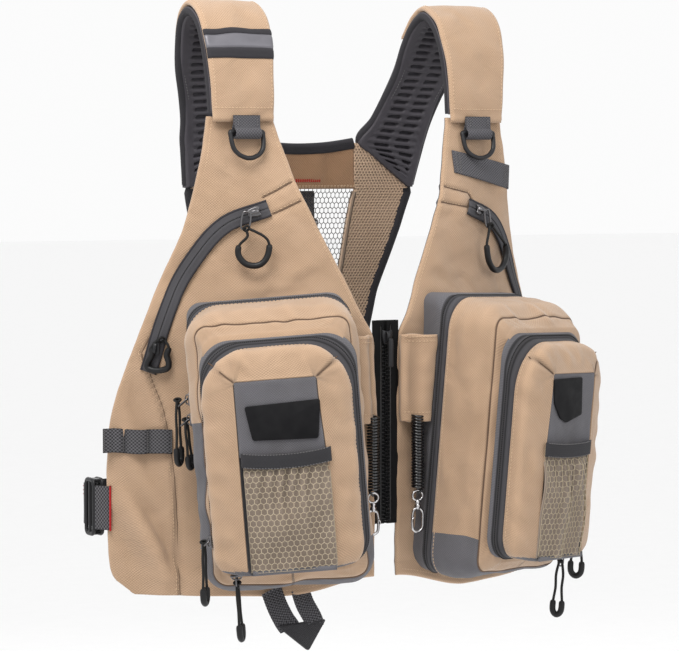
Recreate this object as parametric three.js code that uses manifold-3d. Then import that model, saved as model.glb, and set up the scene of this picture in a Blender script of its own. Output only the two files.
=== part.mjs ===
// Fishing vest as it hangs on a wearer's shoulders. Millimetres, +Z up.
// The front faces -Y, the wearer's left side is +X, and the origin lies between the undersides
// of the two shoulder pads, where the wearer's shoulders carry the vest.
import * as THREE from "three";
import { mergeVertices } from "three/addons/utils/BufferGeometryUtils.js";
import Module from "manifold-3d";

const wasm = await Module();
wasm.setup();

// ---- Driving dimensions ----
const GAP = 0.5;
const PANEL_THICKNESS = 5;
const NET_THICKNESS = 2;
const PAD_THICKNESS = 8;
const COVER_THICKNESS = 5;
const WEBBING_THICKNESS = 2.4;
const CORD_RADIUS = 1.25;
const RUBBER_RADIUS = 2.6;

// Outer surface of the front: y = crest + curve * x * x, as [z, crest, curve].
const FRONT_SHAPE = [
  [-84, -44, 0.0004],
  [-165, -76, 0.0018],
  [-235, -84, 0.0022],
  [-260, -90, 0.0022],
  [-600, -90, 0.0022],
];
// Outer surface of the back: y = crest - BACK_CURVE * x * x, as [z, crest].
const BACK_SHAPE = [
  [-30, 48],
  [-98, 84],
  [-164, 96],
  [-250, 102],
  [-350, 100],
  [-600, 93],
];
const BACK_CURVE = 0.0008;

// Edges of one front panel, as [z, inner x, outer x].
const FRONT_EDGES = [
  [-87, 91, 152],
  [-120, 82, 157],
  [-155, 73, 163],
  [-195, 55, 172],
  [-235, 36, 187],
  [-260, 26, 196],
  [-286, 11, 204],
  [-342, 11, 221],
  [-369, 11, 224.5],
  [-420, 11, 226],
  [-486, 11, 224.5],
  [-512, 11, 215],
  [-519, 11, 204],
];
const HEM_RISE = 15; // how much higher the hem is at the centre front than at the pockets
// Outer surface of a shoulder pad over the shoulder, as [y, z, inner x, outer x, lean dy/dx].
const SHOULDER_PATH = [
  [-40, -84, 92, 150, 0.1],
  [-39, -55, 91, 152, 0.08],
  [-33, -21, 89, 155, 0.04],
  [-20, 2, 88, 156, 0],
  [0, 12, 88, 156, 0],
  [20, 4, 88, 155, -0.03],
  [36, -15, 87, 151, -0.06],
  [49.5, -40, 86, 146, -0.1],
  [61.5, -66, 80, 138, -0.14],
];
const COVER_STATIONS = 7; // the strap cover ends behind the top of the shoulder

// The pad's slanting lower end, from the neckline to the armhole: x on the slant at height z.
const slantX = (z) => 59 - (z + 108) * 1.277;
const PAD_BACK_EDGES = [
  [-90, 72, 132],
  [-108, 61, 129.5],
  [-120, slantX(-120) + 1, 127.5],
  [-132, slantX(-132) + 1, 125.5],
  [-144, slantX(-144) + 1, 123.5],
  [-152, slantX(-152) + 1, 122.3],
];
const YOKE_HALF_WIDTH = [
  [-107, 57.5],
  [-154, 63.5],
];
const NECKLINE_DIP = 6;
const NET_HALF_WIDTH = [
  [-154, 63.5],
  [-230, 50],
  [-300, 40],
  [-331, 36],
];
const ARMHOLE_EDGE = [
  [-155, 118],
  [-189, 110],
  [-252, 88],
  [-286, 80],
  [-331, 76],
];
const LOWER_HALF_WIDTH = [
  [-331, 76],
  [-360, 79],
  [-410, 84],
  [-470, 88],
];

// Main pocket: distances are measured from the pocket's base plane, outwards from the vest.
const POCKET_TURN = 27; // degrees that the pocket faces away from straight ahead
const POCKET_BASE = [101, -66, -378];
const POCKET_LEAN = { left: { roll: 2, pitch: 4 }, right: { roll: 4.5, pitch: 2 } };
const GUSSET_TOP = 18;
// Rings of a pocket shell: [depth, inner u, outer u, bottom w, top w, top radius, bottom radius].
const GUSSET_RINGS = [
  [-26, -62, 70, -127, 127, 30, 24],
  [0, -69, 70, -127, 127, 30, 24],
  [GUSSET_TOP, -79, 70, -127, 127, 30, 24],
];
const SHELL_RINGS = [
  [GUSSET_TOP + GAP, -79, 70, -127, 127, 30, 24],
  [34, -79, 70, -126, 126, 30, 24],
  [62, -77, 69, -120, 118, 20, 20],
  [72, -74, 64, -116, 112, 20, 20],
  [78, -68, 57, -108, 104, 20, 20],
];
const FRONT_BASE = 78 + GAP;
const FRONT_GUSSET_RINGS = [
  [FRONT_BASE, -72, 59, -103, 100, 46, 24],
  [89, -72, 59, -103, 100, 46, 24],
];
const FRONT_SHELL_RINGS = [
  [89 + GAP, -71, 59, -103, 100, 46, 24],
  [100, -68, 57, -103, 96, 38, 18],
  [112, -49, 31, -103, 74, 6, 6],
];
const MESH_RINGS = [
  [112 + GAP, -47, 28, -101, 5, 5, 5],
  [118, -46, 27, -100, 3, 5, 5],
  [122, -38, 19, -92, -6, 5, 5],
];

const COLOURS = {
  khaki: [0xb99c7c, 0.9, 0],
  grey: [0x5f6069, 0.85, 0],
  dark: [0x2e2d31, 0.8, 0],
  net: [0x8a8374, 0.9, 0],
  spacer: [0x94795d, 0.9, 0],
  black: [0x151518, 0.5, 0],
  rubber: [0x1c1d20, 0.6, 0],
  silver: [0xc8c9cc, 0.25, 1],
};

// ---- Helpers ----
const vector = (x, y, z) => new THREE.Vector3(x, y, z);
const degrees = THREE.MathUtils.degToRad;

// Values of a table at a key, straight between its rows; keys fall down the table.
function sample(table, key) {
  const last = table.length - 1;
  if (key >= table[0][0]) return table[0].slice(1);
  if (key <= table[last][0]) return table[last].slice(1);
  const i = table.findIndex((row) => row[0] <= key);
  const [upper, lower] = [table[i - 1], table[i]];
  const part = (upper[0] - key) / (upper[0] - lower[0]);
  return upper.slice(1).map((value, k) => value + (lower[k + 1] - value) * part);
}

function frontY(x, z) {
  const [crest, curve] = sample(FRONT_SHAPE, z);
  return crest + curve * x * x;
}

function backY(x, z) {
  return sample(BACK_SHAPE, z)[0] - BACK_CURVE * x * x;
}

// Turns a geometry's faces outwards if they point in.
function outward(geometry) {
  const index = geometry.index.array;
  const [a, b, c] = [vector(), vector(), vector()];
  const position = geometry.attributes.position;
  let volume = 0;
  for (let i = 0; i < index.length; i += 3) {
    a.fromBufferAttribute(position, index[i]);
    b.fromBufferAttribute(position, index[i + 1]);
    c.fromBufferAttribute(position, index[i + 2]);
    volume += a.dot(b.cross(c));
  }
  if (volume < 0) {
    for (let i = 0; i < index.length; i += 3) {
      [index[i + 1], index[i + 2]] = [index[i + 2], index[i + 1]];
    }
  }
  return geometry;
}

// Triangles that close a ring of points, all turning the way the ring does.
function lid(ring) {
  const normal = vector();
  ring.forEach((p, i) => {
    normal.add(p.clone().cross(ring[(i + 1) % ring.length]));
  });
  const side = ring[1].clone().sub(ring[0]);
  normal.normalize();
  side.addScaledVector(normal, -side.dot(normal)).normalize();
  const up = normal.clone().cross(side);
  const flat = ring.map((p) => new THREE.Vector2(p.dot(side), p.dot(up)));
  return THREE.ShapeUtils.triangulateShape(flat, []).map(([i, j, k]) => {
    const turn = flat[j].clone().sub(flat[i]).cross(flat[k].clone().sub(flat[i]));
    return turn < 0 ? [i, k, j] : [i, j, k];
  });
}

// A closed skin through rings with the same number of points, with a lid on each end.
function loft(rings) {
  const count = rings[0].length;
  const end = (rings.length - 1) * count;
  const faces = [];
  for (let r = 0; r < rings.length - 1; r++) {
    for (let i = 0; i < count; i++) {
      const a = r * count + i;
      const b = r * count + ((i + 1) % count);
      faces.push(a, b, b + count, a, b + count, a + count);
    }
  }
  lid(rings[0]).forEach(([i, j, k]) => faces.push(i, k, j));
  lid(rings.at(-1)).forEach(([i, j, k]) => faces.push(end + i, end + j, end + k));
  const positions = rings.flat().flatMap((p) => [p.x, p.y, p.z]);
  const geometry = new THREE.BufferGeometry();
  geometry.setAttribute("position", new THREE.Float32BufferAttribute(positions, 3));
  geometry.setIndex(faces);
  return outward(geometry);
}

// The unit normals of a grid of points that point the way inward(point) does.
function gridNormals(rows, inward) {
  const at = (r, i) => {
    const row = rows[THREE.MathUtils.clamp(r, 0, rows.length - 1)];
    return row[THREE.MathUtils.clamp(i, 0, row.length - 1)];
  };
  return rows.map((row, r) =>
    row.map((p, i) => {
      const along = at(r + 1, i).clone().sub(at(r - 1, i));
      const across = at(r, i + 1).clone().sub(at(r, i - 1));
      const normal = along.cross(across).normalize();
      return normal.dot(inward(p)) < 0 ? normal.negate() : normal;
    }),
  );
}

// Moves a grid of points outwards by a distance.
function raised(rows, inward, distance) {
  const normals = gridNormals(rows, inward);
  return rows.map((row, r) =>
    row.map((p, i) => p.clone().addScaledVector(normals[r][i], -distance)),
  );
}

// A sheet of even thickness whose outer face is a grid of points.
function slab(rows, thickness, inward) {
  const inner = raised(rows, inward, -thickness);
  return loft(rows.map((row, r) => [...row, ...inner[r].reverse()]));
}

// A grid over a table of [z, inner x, outer x], on a surface y = surface(x, z).
function edgedRows(edges, columns, surface) {
  return edges.map(([z, inner, outer]) =>
    Array.from({ length: columns }, (_, i) => {
      const x = inner + ((outer - inner) * i) / (columns - 1);
      return vector(x, surface(x, z), z);
    }),
  );
}

const towardsBack = () => vector(0, 1, 0);
const towardsFront = () => vector(0, -1, 0);
const towardsShoulder = (p) => vector(0, 18 - p.y, -70 - p.z);

function roundedRing([depth, left, right, bottom, top, topRadius, bottomRadius]) {
  const steps = 5;
  const corners = [
    [right - topRadius, top - topRadius, topRadius, 0],
    [left + topRadius, top - topRadius, topRadius, 90],
    [left + bottomRadius, bottom + bottomRadius, bottomRadius, 180],
    [right - bottomRadius, bottom + bottomRadius, bottomRadius, 270],
  ];
  return corners.flatMap(([u, w, radius, start]) =>
    Array.from({ length: steps + 1 }, (_, i) => {
      const angle = degrees(start + (90 * i) / steps);
      return vector(u + radius * Math.cos(angle), w + radius * Math.sin(angle), depth);
    }),
  );
}

function box(size, centre) {
  return new THREE.BoxGeometry(...size).translate(...centre);
}

function rod(radius, length, axis, centre, sides = 16) {
  const geometry = new THREE.CylinderGeometry(radius, radius, length, sides);
  if (axis === "x") geometry.rotateZ(Math.PI / 2);
  if (axis === "z") geometry.rotateX(Math.PI / 2);
  return geometry.translate(...centre);
}

function extrudedPlate(shape, depth, curveSegments = 6) {
  return new THREE.ExtrudeGeometry(shape, { depth, bevelEnabled: false, curveSegments });
}

function tube(points, radius) {
  const section = new THREE.Shape().absarc(0, 0, radius, 0, 2 * Math.PI);
  const extrudePath = new THREE.CatmullRomCurve3(points);
  const steps = Math.ceil(extrudePath.getLength() / (6 * CORD_RADIUS));
  return new THREE.ExtrudeGeometry(section, { steps, extrudePath, curveSegments: 4 });
}

function toSolid(geometry) {
  const bare = geometry.clone();
  bare.deleteAttribute("normal");
  bare.deleteAttribute("uv");
  const merged = mergeVertices(bare, 1e-3);
  return new wasm.Manifold(
    new wasm.Mesh({
      numProp: 3,
      vertProperties: merged.attributes.position.array,
      triVerts: new Uint32Array(merged.index.array),
    }),
  );
}

function toGeometry(solid) {
  const mesh = solid.getMesh();
  const geometry = new THREE.BufferGeometry();
  geometry.setAttribute("position", new THREE.BufferAttribute(mesh.vertProperties, 3));
  geometry.setIndex(new THREE.BufferAttribute(mesh.triVerts, 1));
  return geometry;
}

function joined(first, ...others) {
  return toGeometry(others.reduce((sum, piece) => sum.add(toSolid(piece)), toSolid(first)));
}

function cut(geometry, ...tools) {
  return toGeometry(tools.reduce((rest, tool) => rest.subtract(toSolid(tool)), toSolid(geometry)));
}

function addMesh(parent, name, geometry, colour) {
  const [color, roughness, metalness] = COLOURS[colour];
  const material = new THREE.MeshStandardMaterial({ color, roughness, metalness });
  const mesh = new THREE.Mesh(geometry, material);
  mesh.name = name;
  parent.add(mesh);
  return mesh;
}

// ---- Hardware ----
// A D ring in the XZ plane: its straight bar lies on the X axis, and its bow hangs below.
const RING_SECTION = 4;

function bow(path, halfWidth, height, top) {
  const straight = height - halfWidth * 0.8;
  path.moveTo(-halfWidth, top);
  path.lineTo(-halfWidth, -straight);
  path.quadraticCurveTo(-halfWidth * 0.95, -height, 0, -height);
  path.quadraticCurveTo(halfWidth * 0.95, -height, halfWidth, -straight);
  path.lineTo(halfWidth, top);
  path.closePath();
  return path;
}

function dRing(width, height) {
  const half = RING_SECTION / 2;
  const shape = bow(new THREE.Shape(), width / 2, height - half, half);
  shape.holes.push(bow(new THREE.Path(), width / 2 - RING_SECTION, height - half * 3, -half));
  return extrudedPlate(shape, RING_SECTION).rotateX(Math.PI / 2).translate(0, half, 0);
}

// A webbing tab with a rolled loop at its lower end, in which a ring's bar turns.
const TAB_HOLE_RADIUS = 3.3;

function ringTab(width, height, thickness) {
  const bend = TAB_HOLE_RADIUS + 1.7;
  const plate = box([width, thickness, height], [0, 0, height / 2]);
  const roll = rod(bend, width, "x", [0, 0, 0], 20);
  return cut(joined(plate, roll), rod(TAB_HOLE_RADIUS, width + 2, "x", [0, 0, 0], 20));
}

// A zip slider lying in the XY plane with its nose towards +Y and its front towards +Z.
function sliderBody(width, length, height) {
  const plan = new THREE.Shape();
  plan.moveTo(-width / 2, length / 2);
  plan.lineTo(-width / 3, -length / 2);
  plan.lineTo(width / 3, -length / 2);
  plan.lineTo(width / 2, length / 2);
  plan.closePath();
  const bridge = box([width / 3, length * 0.7, height], [0, 0, height]);
  return joined(extrudedPlate(plan, height), bridge);
}

// A cord loop that hangs from a point, with a rubber sleeve on its lowest part and a knot on top.
function cordLoop(points, sleeveFrom, sleeveTo) {
  const cord = tube(points, CORD_RADIUS);
  const sleeve = tube(points.slice(sleeveFrom, sleeveTo), RUBBER_RADIUS);
  const knot = new THREE.SphereGeometry(CORD_RADIUS * 2, 8, 6);
  const top = points[0].clone().add(points.at(-1)).multiplyScalar(0.5);
  knot.translate(top.x, top.y, top.z);
  return joined(cord, sleeve, knot);
}

// The points of a long narrow loop that hangs down from a start point.
function hangingLoop(start, length, halfWidth, sway, across) {
  const at = (side, fraction, spread) =>
    start
      .clone()
      .addScaledVector(across, side * halfWidth * spread)
      .addScaledVector(sway, fraction)
      .add(vector(0, -length * fraction, 0));
  const leg = [
    [0, 0.3],
    [0.25, 0.8],
    [0.5, 0.7],
    [0.75, 1],
    [0.93, 0.9],
  ];
  const down = leg.map(([fraction, spread]) => at(-1, fraction, spread));
  const up = leg.map(([fraction, spread]) => at(1, fraction, spread)).reverse();
  return [...down, at(0, 1, 0), ...up];
}

// ---- Back of the vest ----
function shoulderRows() {
  const over = SHOULDER_PATH.map(([y, z, inner, outer, lean]) => {
    const middle = (inner + outer) / 2;
    return [0, 1, 2, 3].map((i) => {
      const x = inner + ((outer - inner) * i) / 3;
      return vector(x, y + lean * (x - middle), z);
    });
  });
  return [...over, ...edgedRows(PAD_BACK_EDGES, 4, backY)];
}

function addShoulder(parent, side) {
  const rows = shoulderRows();
  const pad = slab(rows, PAD_THICKNESS, towardsShoulder);
  addMesh(parent, `shoulder_pad_${side}`, pad, "dark");
  const coverRise = GAP + COVER_THICKNESS;
  const coverRows = raised(rows, towardsShoulder, coverRise).slice(0, COVER_STATIONS);
  const cover = slab(coverRows, COVER_THICKNESS, towardsShoulder);
  addMesh(parent, `strap_cover_${side}`, cover, "khaki");
}

function addSpacer(parent, side) {
  const slanted = [-110, -120, -132, -144, -154].map((z) => [
    z,
    sample(YOKE_HALF_WIDTH, z)[0] + GAP,
    slantX(z) - 1,
  ]);
  const lower = [-189, -230, -252, -286, -329.5].map((z) => [
    z,
    sample(NET_HALF_WIDTH, z)[0] + GAP,
    sample(ARMHOLE_EDGE, z)[0],
  ]);
  const rows = edgedRows([...slanted, ...lower], 4, backY);
  addMesh(parent, `back_spacer_${side}`, slab(rows, PANEL_THICKNESS, towardsFront), "spacer");
}

function addBackCentre(parent) {
  const dipped = (x, z) => z - NECKLINE_DIP * (1 - (x / YOKE_HALF_WIDTH[0][1]) ** 2);
  const yoke = edgedRows([[-107, -57.5, 57.5], [-128, -60, 60], [-153.5, -63, 63]], 9, backY);
  yoke[0].forEach((p) => {
    p.z = dipped(p.x, p.z);
  });
  addMesh(parent, "back_yoke", slab(yoke, PANEL_THICKNESS, towardsFront), "khaki");

  const symmetric = (table) => (z) => [z, -sample(table, z)[0], sample(table, z)[0]];
  const netEdges = [-154, -190, -230, -265, -300, -330].map(symmetric(NET_HALF_WIDTH));
  const net = slab(edgedRows(netEdges, 7, backY), NET_THICKNESS, towardsFront);
  addMesh(parent, "back_net", net, "net");

  const lowerEdges = [-330.5, -360, -410, -470].map(symmetric(LOWER_HALF_WIDTH));
  const lower = slab(edgedRows(lowerEdges, 7, backY), PANEL_THICKNESS, towardsFront);
  addMesh(parent, "back_lower_panel", lower, "khaki");
}

const NET_TAB = { width: 52, height: 30, thickness: 3, bar: [0, 104, -184] };
const NET_RING = { width: 62, height: 42 };

function addNetRing(parent) {
  const { width, height, thickness, bar } = NET_TAB;
  const tab = ringTab(width, height, thickness).translate(...bar);
  addMesh(parent, "net_ring_tab", tab, "grey");
  addMesh(parent, "net_ring", dRing(NET_RING.width, NET_RING.height), "black")
    .position.set(...bar);
}

// ---- Sides ----
const STRAP_WIDTH = 38;
const STRAP_Z = -441;
const STRAP_ROUTE = [
  [232, 30],
  [231, 50],
  [230.5, 62],
  [226, 76],
  [212, 90],
  [180, 100],
  [140, 104],
  [100, 103],
  [74, 101.5],
];
const BUCKLE = { x: 231, y: 42, height: 53, length: 20, thickness: 13 };

function addSideStrap(parent, side) {
  const rows = STRAP_ROUTE.map(([x, y]) => [
    vector(x, y, STRAP_Z + STRAP_WIDTH / 2),
    vector(x, y, STRAP_Z - STRAP_WIDTH / 2),
  ]);
  const inward = (p) => vector(-p.x, -p.y, 0);
  const strap = slab(rows, WEBBING_THICKNESS, inward);
  addMesh(parent, `side_strap_${side}`, strap, "grey");

  const { x, y, height, length, thickness } = BUCKLE;
  const body = box([thickness, length, height], [0, 0, 0]);
  const passage = box([6, length + 2, STRAP_WIDTH + 3], [0, 0, 0]);
  const window = (offset) => box([thickness, 5.5, STRAP_WIDTH + 3], [4, offset, 0]);
  const buckle = cut(body, passage, window(-5.2), window(5.2));
  addMesh(parent, `side_buckle_${side}`, buckle, "black").position.set(x - 0.4, y, STRAP_Z);
}

// ---- Front of the vest ----
const ZIP = { top: -271, bottom: -456, outer: 10.4, front: -89.4, thickness: 3 };
const ZIP_NOTCH = { x: 8, bottom: -303 };
const CHEST_ZIP_POINTS = [
  [104, -169],
  [140, -184],
  [164, -215],
  [183.5, -260],
  [194.5, -313],
];
const CHEST_ZIP_WIDTH = 14;
const CHEST_ZIP_RISE = WEBBING_THICKNESS + 1.8;
// Edges of the fabric sleeves over the tether coils, as [z, inner x, outer x].
const SLEEVE_EDGES = {
  left: { tilt: -0.5, edges: [[-284, 12, 43], [-324, 12, 40], [-363, 12, 37]] },
  right: { tilt: -0.5, edges: [[-284, 17, 42], [-324, 14.5, 40], [-363, 12, 38]] },
};
const SLEEVE_THICKNESS = 4;
const TETHER_X = { left: 25, right: 21 };
const TETHER_Y = -104;
const COIL = { radius: 6.3, top: -364, bottom: -423 };
const D_TAB = { width: 26, height: 13, thickness: 6, bar: [120, -48, -101] };
const D_RING = { width: 36, height: 27, tilt: 15 };

function zipHalf(notched) {
  const { top, bottom, outer, front, thickness } = ZIP;
  const inner = GAP * 0.7;
  const outline = new THREE.Shape();
  outline.moveTo(notched ? ZIP_NOTCH.x : inner, top);
  outline.lineTo(outer, top);
  outline.lineTo(outer, bottom);
  outline.lineTo(inner, bottom);
  if (notched) {
    outline.lineTo(inner, ZIP_NOTCH.bottom);
    outline.lineTo(ZIP_NOTCH.x, ZIP_NOTCH.bottom);
  }
  outline.closePath();
  return extrudedPlate(outline, thickness).rotateX(Math.PI / 2).translate(0, front + thickness, 0);
}

// Points across the chest zip at a place along its route, lying on the panel.
function chestZipRows() {
  const route = new THREE.CatmullRomCurve3(CHEST_ZIP_POINTS.map(([x, z]) => vector(x, 0, z)));
  return Array.from({ length: 13 }, (_, i) => {
    const centre = route.getPointAt(i / 12);
    const tangent = route.getTangentAt(i / 12);
    const across = vector(-tangent.z, 0, tangent.x);
    return [-0.5, 0, 0.5].map((offset) => {
      const p = centre.clone().addScaledVector(across, offset * CHEST_ZIP_WIDTH);
      p.y = frontY(p.x, p.z) - CHEST_ZIP_RISE;
      return p;
    });
  });
}

// A slider resting on the chest zip at [x, z], turned so that its nose points along `heading`.
function onChest(geometry, [x, z], heading, lift) {
  const slope = frontY(x + 1, z) - frontY(x - 1, z);
  const fall = frontY(x, z + 1) - frontY(x, z - 1);
  const normal = vector(slope, -2, fall).normalize();
  const nose = vector(heading[0], 0, heading[1]);
  nose.addScaledVector(normal, -nose.dot(normal)).normalize();
  const side = nose.clone().cross(normal);
  const pose = new THREE.Matrix4().makeBasis(side, nose, normal);
  pose.setPosition(vector(x, frontY(x, z), z).addScaledVector(normal, lift));
  return geometry.applyMatrix4(pose);
}

const CHEST_LIFT = CHEST_ZIP_RISE + 1;
const UPPER_SLIDER = [115, -173];
const LOWER_SLIDER = [191, -295];
const PULL_SHIFT = { left: 0, right: -18 };

// The ring-shaped pull below the upper chest slider.
function chestPull(side) {
  const lean = PULL_SHIFT[side];
  const at = (x, z) => {
    const leaned = x + lean * THREE.MathUtils.smoothstep(-z, 184, 200);
    return vector(leaned, frontY(leaned, z) - 12, z);
  };
  const ring = [
    [127, -187],
    [124.5, -196],
    [122, -205],
    [124, -218],
    [130, -226.5],
    [138, -229],
    [147, -226],
    [153, -217],
    [152, -206],
    [141, -196],
    [130, -187],
  ];
  return cordLoop(ring.map(([x, z]) => at(x, z)), 3, 9);
}

// The short loop on the lower chest slider, joined to it.
function lowerChestSlider() {
  const body = onChest(sliderBody(9, 12, 2.6), LOWER_SLIDER, [0.2, -1], CHEST_LIFT);
  const [x, z] = LOWER_SLIDER;
  const start = vector(x, z, 0);
  const loop = hangingLoop(start, 34, 7, vector(3, 0, 0), vector(1, 0, 0));
  const hung = loop.map((p) => vector(p.x, frontY(p.x, p.y) - 9, p.y));
  return joined(body, cordLoop(hung, 3, 8));
}

function tetherSleeve(side) {
  const { tilt, edges } = SLEEVE_EDGES[side];
  const rows = edges.map(([z, inner, outer]) =>
    [0, 0.25, 0.5, 0.75, 1].map((part) => {
      const x = inner + (outer - inner) * part;
      const swell = 3 * Math.sin(Math.PI * part);
      return vector(x, -94.8 + tilt * (x - inner) - swell, z);
    }),
  );
  return slab(rows, SLEEVE_THICKNESS, towardsBack);
}

// A swivel snap clip: an eye at the top, a swivel neck and a long hook loop below.
function tetherClip(x) {
  const eye = new THREE.TorusGeometry(5.2, 1.3, 8, 16).rotateX(Math.PI / 2);
  const neck = rod(2.6, 7, "z", [0, 0, -9.2], 10);
  const hook = bow(new THREE.Shape(), 5.5, 21, 0);
  hook.holes.push(bow(new THREE.Path(), 3.2, 18.5, -2.6));
  const loop = extrudedPlate(hook, 2.6).rotateX(Math.PI / 2).translate(0, 1.3, -12);
  return joined(eye, neck, loop).translate(x, TETHER_Y, COIL.bottom - 7.2);
}

function pocketPose(side) {
  const turn = degrees(POCKET_TURN);
  const u = vector(Math.cos(turn), Math.sin(turn), 0);
  const n = vector(Math.sin(turn), -Math.cos(turn), 0);
  const pose = new THREE.Matrix4().makeBasis(u, vector(0, 0, 1), n);
  const { roll, pitch } = POCKET_LEAN[side];
  pose.multiply(new THREE.Matrix4().makeRotationZ(-degrees(roll)));
  pose.multiply(new THREE.Matrix4().makeRotationX(degrees(pitch)));
  return pose.setPosition(...POCKET_BASE);
}

// The space behind the front panel's outer face, which the pocket gusset is trimmed to.
function behindPanel() {
  const edges = [
    [-200, -30, 240],
    [-260, -30, 240],
    [-560, -30, 240],
  ];
  const rows = raised(edgedRows(edges, 24, frontY), towardsBack, GAP);
  return slab(rows, 60, towardsBack);
}

// Two sliders on each pocket zip: the place where each rests on the side or bottom wall, the way
// it faces, the reach of its puller, and the length, sideways sway and half width of its loop.
const MAIN_SLIDERS = {
  a: { at: [71.2, 46, 25], outwards: [1, 0], reach: 12, length: 66, sway: 3, spread: 6 },
  b: { at: [71.2, 28, 26], outwards: [1, 0], reach: 6, length: 62, sway: -1, spread: 5 },
};
const FRONT_SLIDERS = {
  a: { at: [60.2, -74, 85], outwards: [1, 0], reach: 8, length: 54, sway: 3, spread: 5 },
  b: { at: [42, -104.2, 85], outwards: [0, -1], reach: 8, length: 50, sway: 0, spread: 4 },
};
const SLIDER_LENGTH = 12;

// A pocket zip slider on a wall, with its puller and hanging cord loop.
function pocketSlider({ at, outwards, reach, length, sway, spread }) {
  const wall = vector(...at);
  const out = vector(...outwards, 0);
  const along = vector(Math.abs(out.y), Math.abs(out.x), 0);
  const sized = (outSize, alongSize, depthSize, distance) => {
    const size = vector(0, 0, depthSize);
    size.add(vector(Math.abs(out.x), Math.abs(out.y), 0).multiplyScalar(outSize));
    size.addScaledVector(along, alongSize);
    const centre = wall.clone().addScaledVector(out, distance);
    return box(size.toArray(), centre.toArray());
  };
  const body = sized(5.4, SLIDER_LENGTH, 9, 2.7);
  const puller = sized(reach, 3, 2.4, reach / 2);
  const start = wall.clone().addScaledVector(out, reach);
  const points = hangingLoop(start, length, spread, vector(sway, 0, 0), vector(0.3, 0, 1));
  return joined(body, puller, cordLoop(points, 3, 8));
}

function addPocket(parent, side) {
  const pose = pocketPose(side);
  const group = new THREE.Group();
  group.applyMatrix4(pose);
  parent.add(group);

  const trim = behindPanel().applyMatrix4(pose.clone().invert());
  const gusset = cut(loft(GUSSET_RINGS.map(roundedRing)), trim);
  addMesh(group, `pocket_gusset_${side}`, gusset, "grey");
  addMesh(group, `pocket_shell_${side}`, loft(SHELL_RINGS.map(roundedRing)), "khaki");
  const frontGusset = loft(FRONT_GUSSET_RINGS.map(roundedRing));
  addMesh(group, `front_pocket_gusset_${side}`, frontGusset, "grey");
  const frontShell = loft(FRONT_SHELL_RINGS.map(roundedRing));
  addMesh(group, `front_pocket_shell_${side}`, frontShell, "khaki");
  addMesh(group, `mesh_pocket_${side}`, loft(MESH_RINGS.map(roundedRing)), "net");

  for (const copy of ["a", "b"]) {
    const mainSlider = pocketSlider(MAIN_SLIDERS[copy]);
    addMesh(group, `pocket_slider_${copy}_${side}`, mainSlider, "rubber");
    const frontSlider = pocketSlider(FRONT_SLIDERS[copy]);
    addMesh(group, `front_pocket_slider_${copy}_${side}`, frontSlider, "rubber");
  }
}

function addFront(parent, side) {
  const panelRows = edgedRows(FRONT_EDGES, 11, frontY);
  panelRows.flat().forEach((p) => {
    const inwards = 1 - THREE.MathUtils.smoothstep(p.x, 11, 95);
    p.z += HEM_RISE * inwards * THREE.MathUtils.smoothstep(-p.z, 480, 519);
  });
  const panel = slab(panelRows, PANEL_THICKNESS, towardsBack);
  addMesh(parent, `front_panel_${side}`, panel, "khaki");
  addMesh(parent, `zip_half_${side}`, zipHalf(side === "left"), "black");

  const chestZip = slab(chestZipRows(), WEBBING_THICKNESS, towardsBack);
  addMesh(parent, `chest_zip_${side}`, chestZip, "grey");
  const upper = onChest(sliderBody(9, 12, 2.6), UPPER_SLIDER, [-1, 0.2], CHEST_LIFT);
  addMesh(parent, `chest_slider_upper_${side}`, upper, "silver");
  addMesh(parent, `chest_pull_${side}`, chestPull(side), "rubber");
  addMesh(parent, `chest_slider_lower_${side}`, lowerChestSlider(), "rubber");

  const tab = ringTab(D_TAB.width, D_TAB.height, D_TAB.thickness).translate(...D_TAB.bar);
  addMesh(parent, `dring_tab_${side}`, tab, "grey");
  const ring = addMesh(parent, `dring_${side}`, dRing(D_RING.width, D_RING.height), "black");
  ring.position.set(...D_TAB.bar);
  ring.rotation.x = -degrees(D_RING.tilt);

  addMesh(parent, `tether_sleeve_${side}`, tetherSleeve(side), "khaki");
  const coilHeight = COIL.top - COIL.bottom;
  const coilMiddle = [TETHER_X[side], TETHER_Y, (COIL.top + COIL.bottom) / 2];
  const coil = rod(COIL.radius, coilHeight, "z", coilMiddle, 12);
  addMesh(parent, `tether_coil_${side}`, coil, "black");
  addMesh(parent, `tether_clip_${side}`, tetherClip(TETHER_X[side]), "silver");
  addPocket(parent, side);
}

// ---- Pieces that only one side has ----
function addShoulderWebbing(parent) {
  const rows = Array.from({ length: 9 }, (_, i) => {
    const part = i / 8;
    const x = 91 + 73 * part;
    const top = -117 - 14 * part;
    const bottom = -138 - 16 * part;
    return [top, bottom].map((z) => vector(x, frontY(x, z) - GAP - WEBBING_THICKNESS, z));
  });
  addMesh(parent, "shoulder_webbing", slab(rows, WEBBING_THICKNESS, towardsBack), "grey");
}

// Three upright webbing loops side by side on the wearer's right side.
function addWebbingLoops(parent) {
  const [start, end] = [182, 232];
  const rings = [-368, -391].map((z) => {
    const columns = Array.from({ length: 25 }, (_, i) => i / 24);
    const place = (part, rise) => {
      const x = start + (end - start) * part;
      return vector(x, frontY(x, z) - GAP - rise, z);
    };
    const outer = columns.map((part) => place(part, 2.4 + 3.6 * Math.abs(Math.sin(3 * Math.PI * part))));
    const inner = columns.map((part) => place(part, 0)).reverse();
    return [...outer, ...inner];
  });
  addMesh(parent, "webbing_loops", loft(rings), "grey");
}

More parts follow.
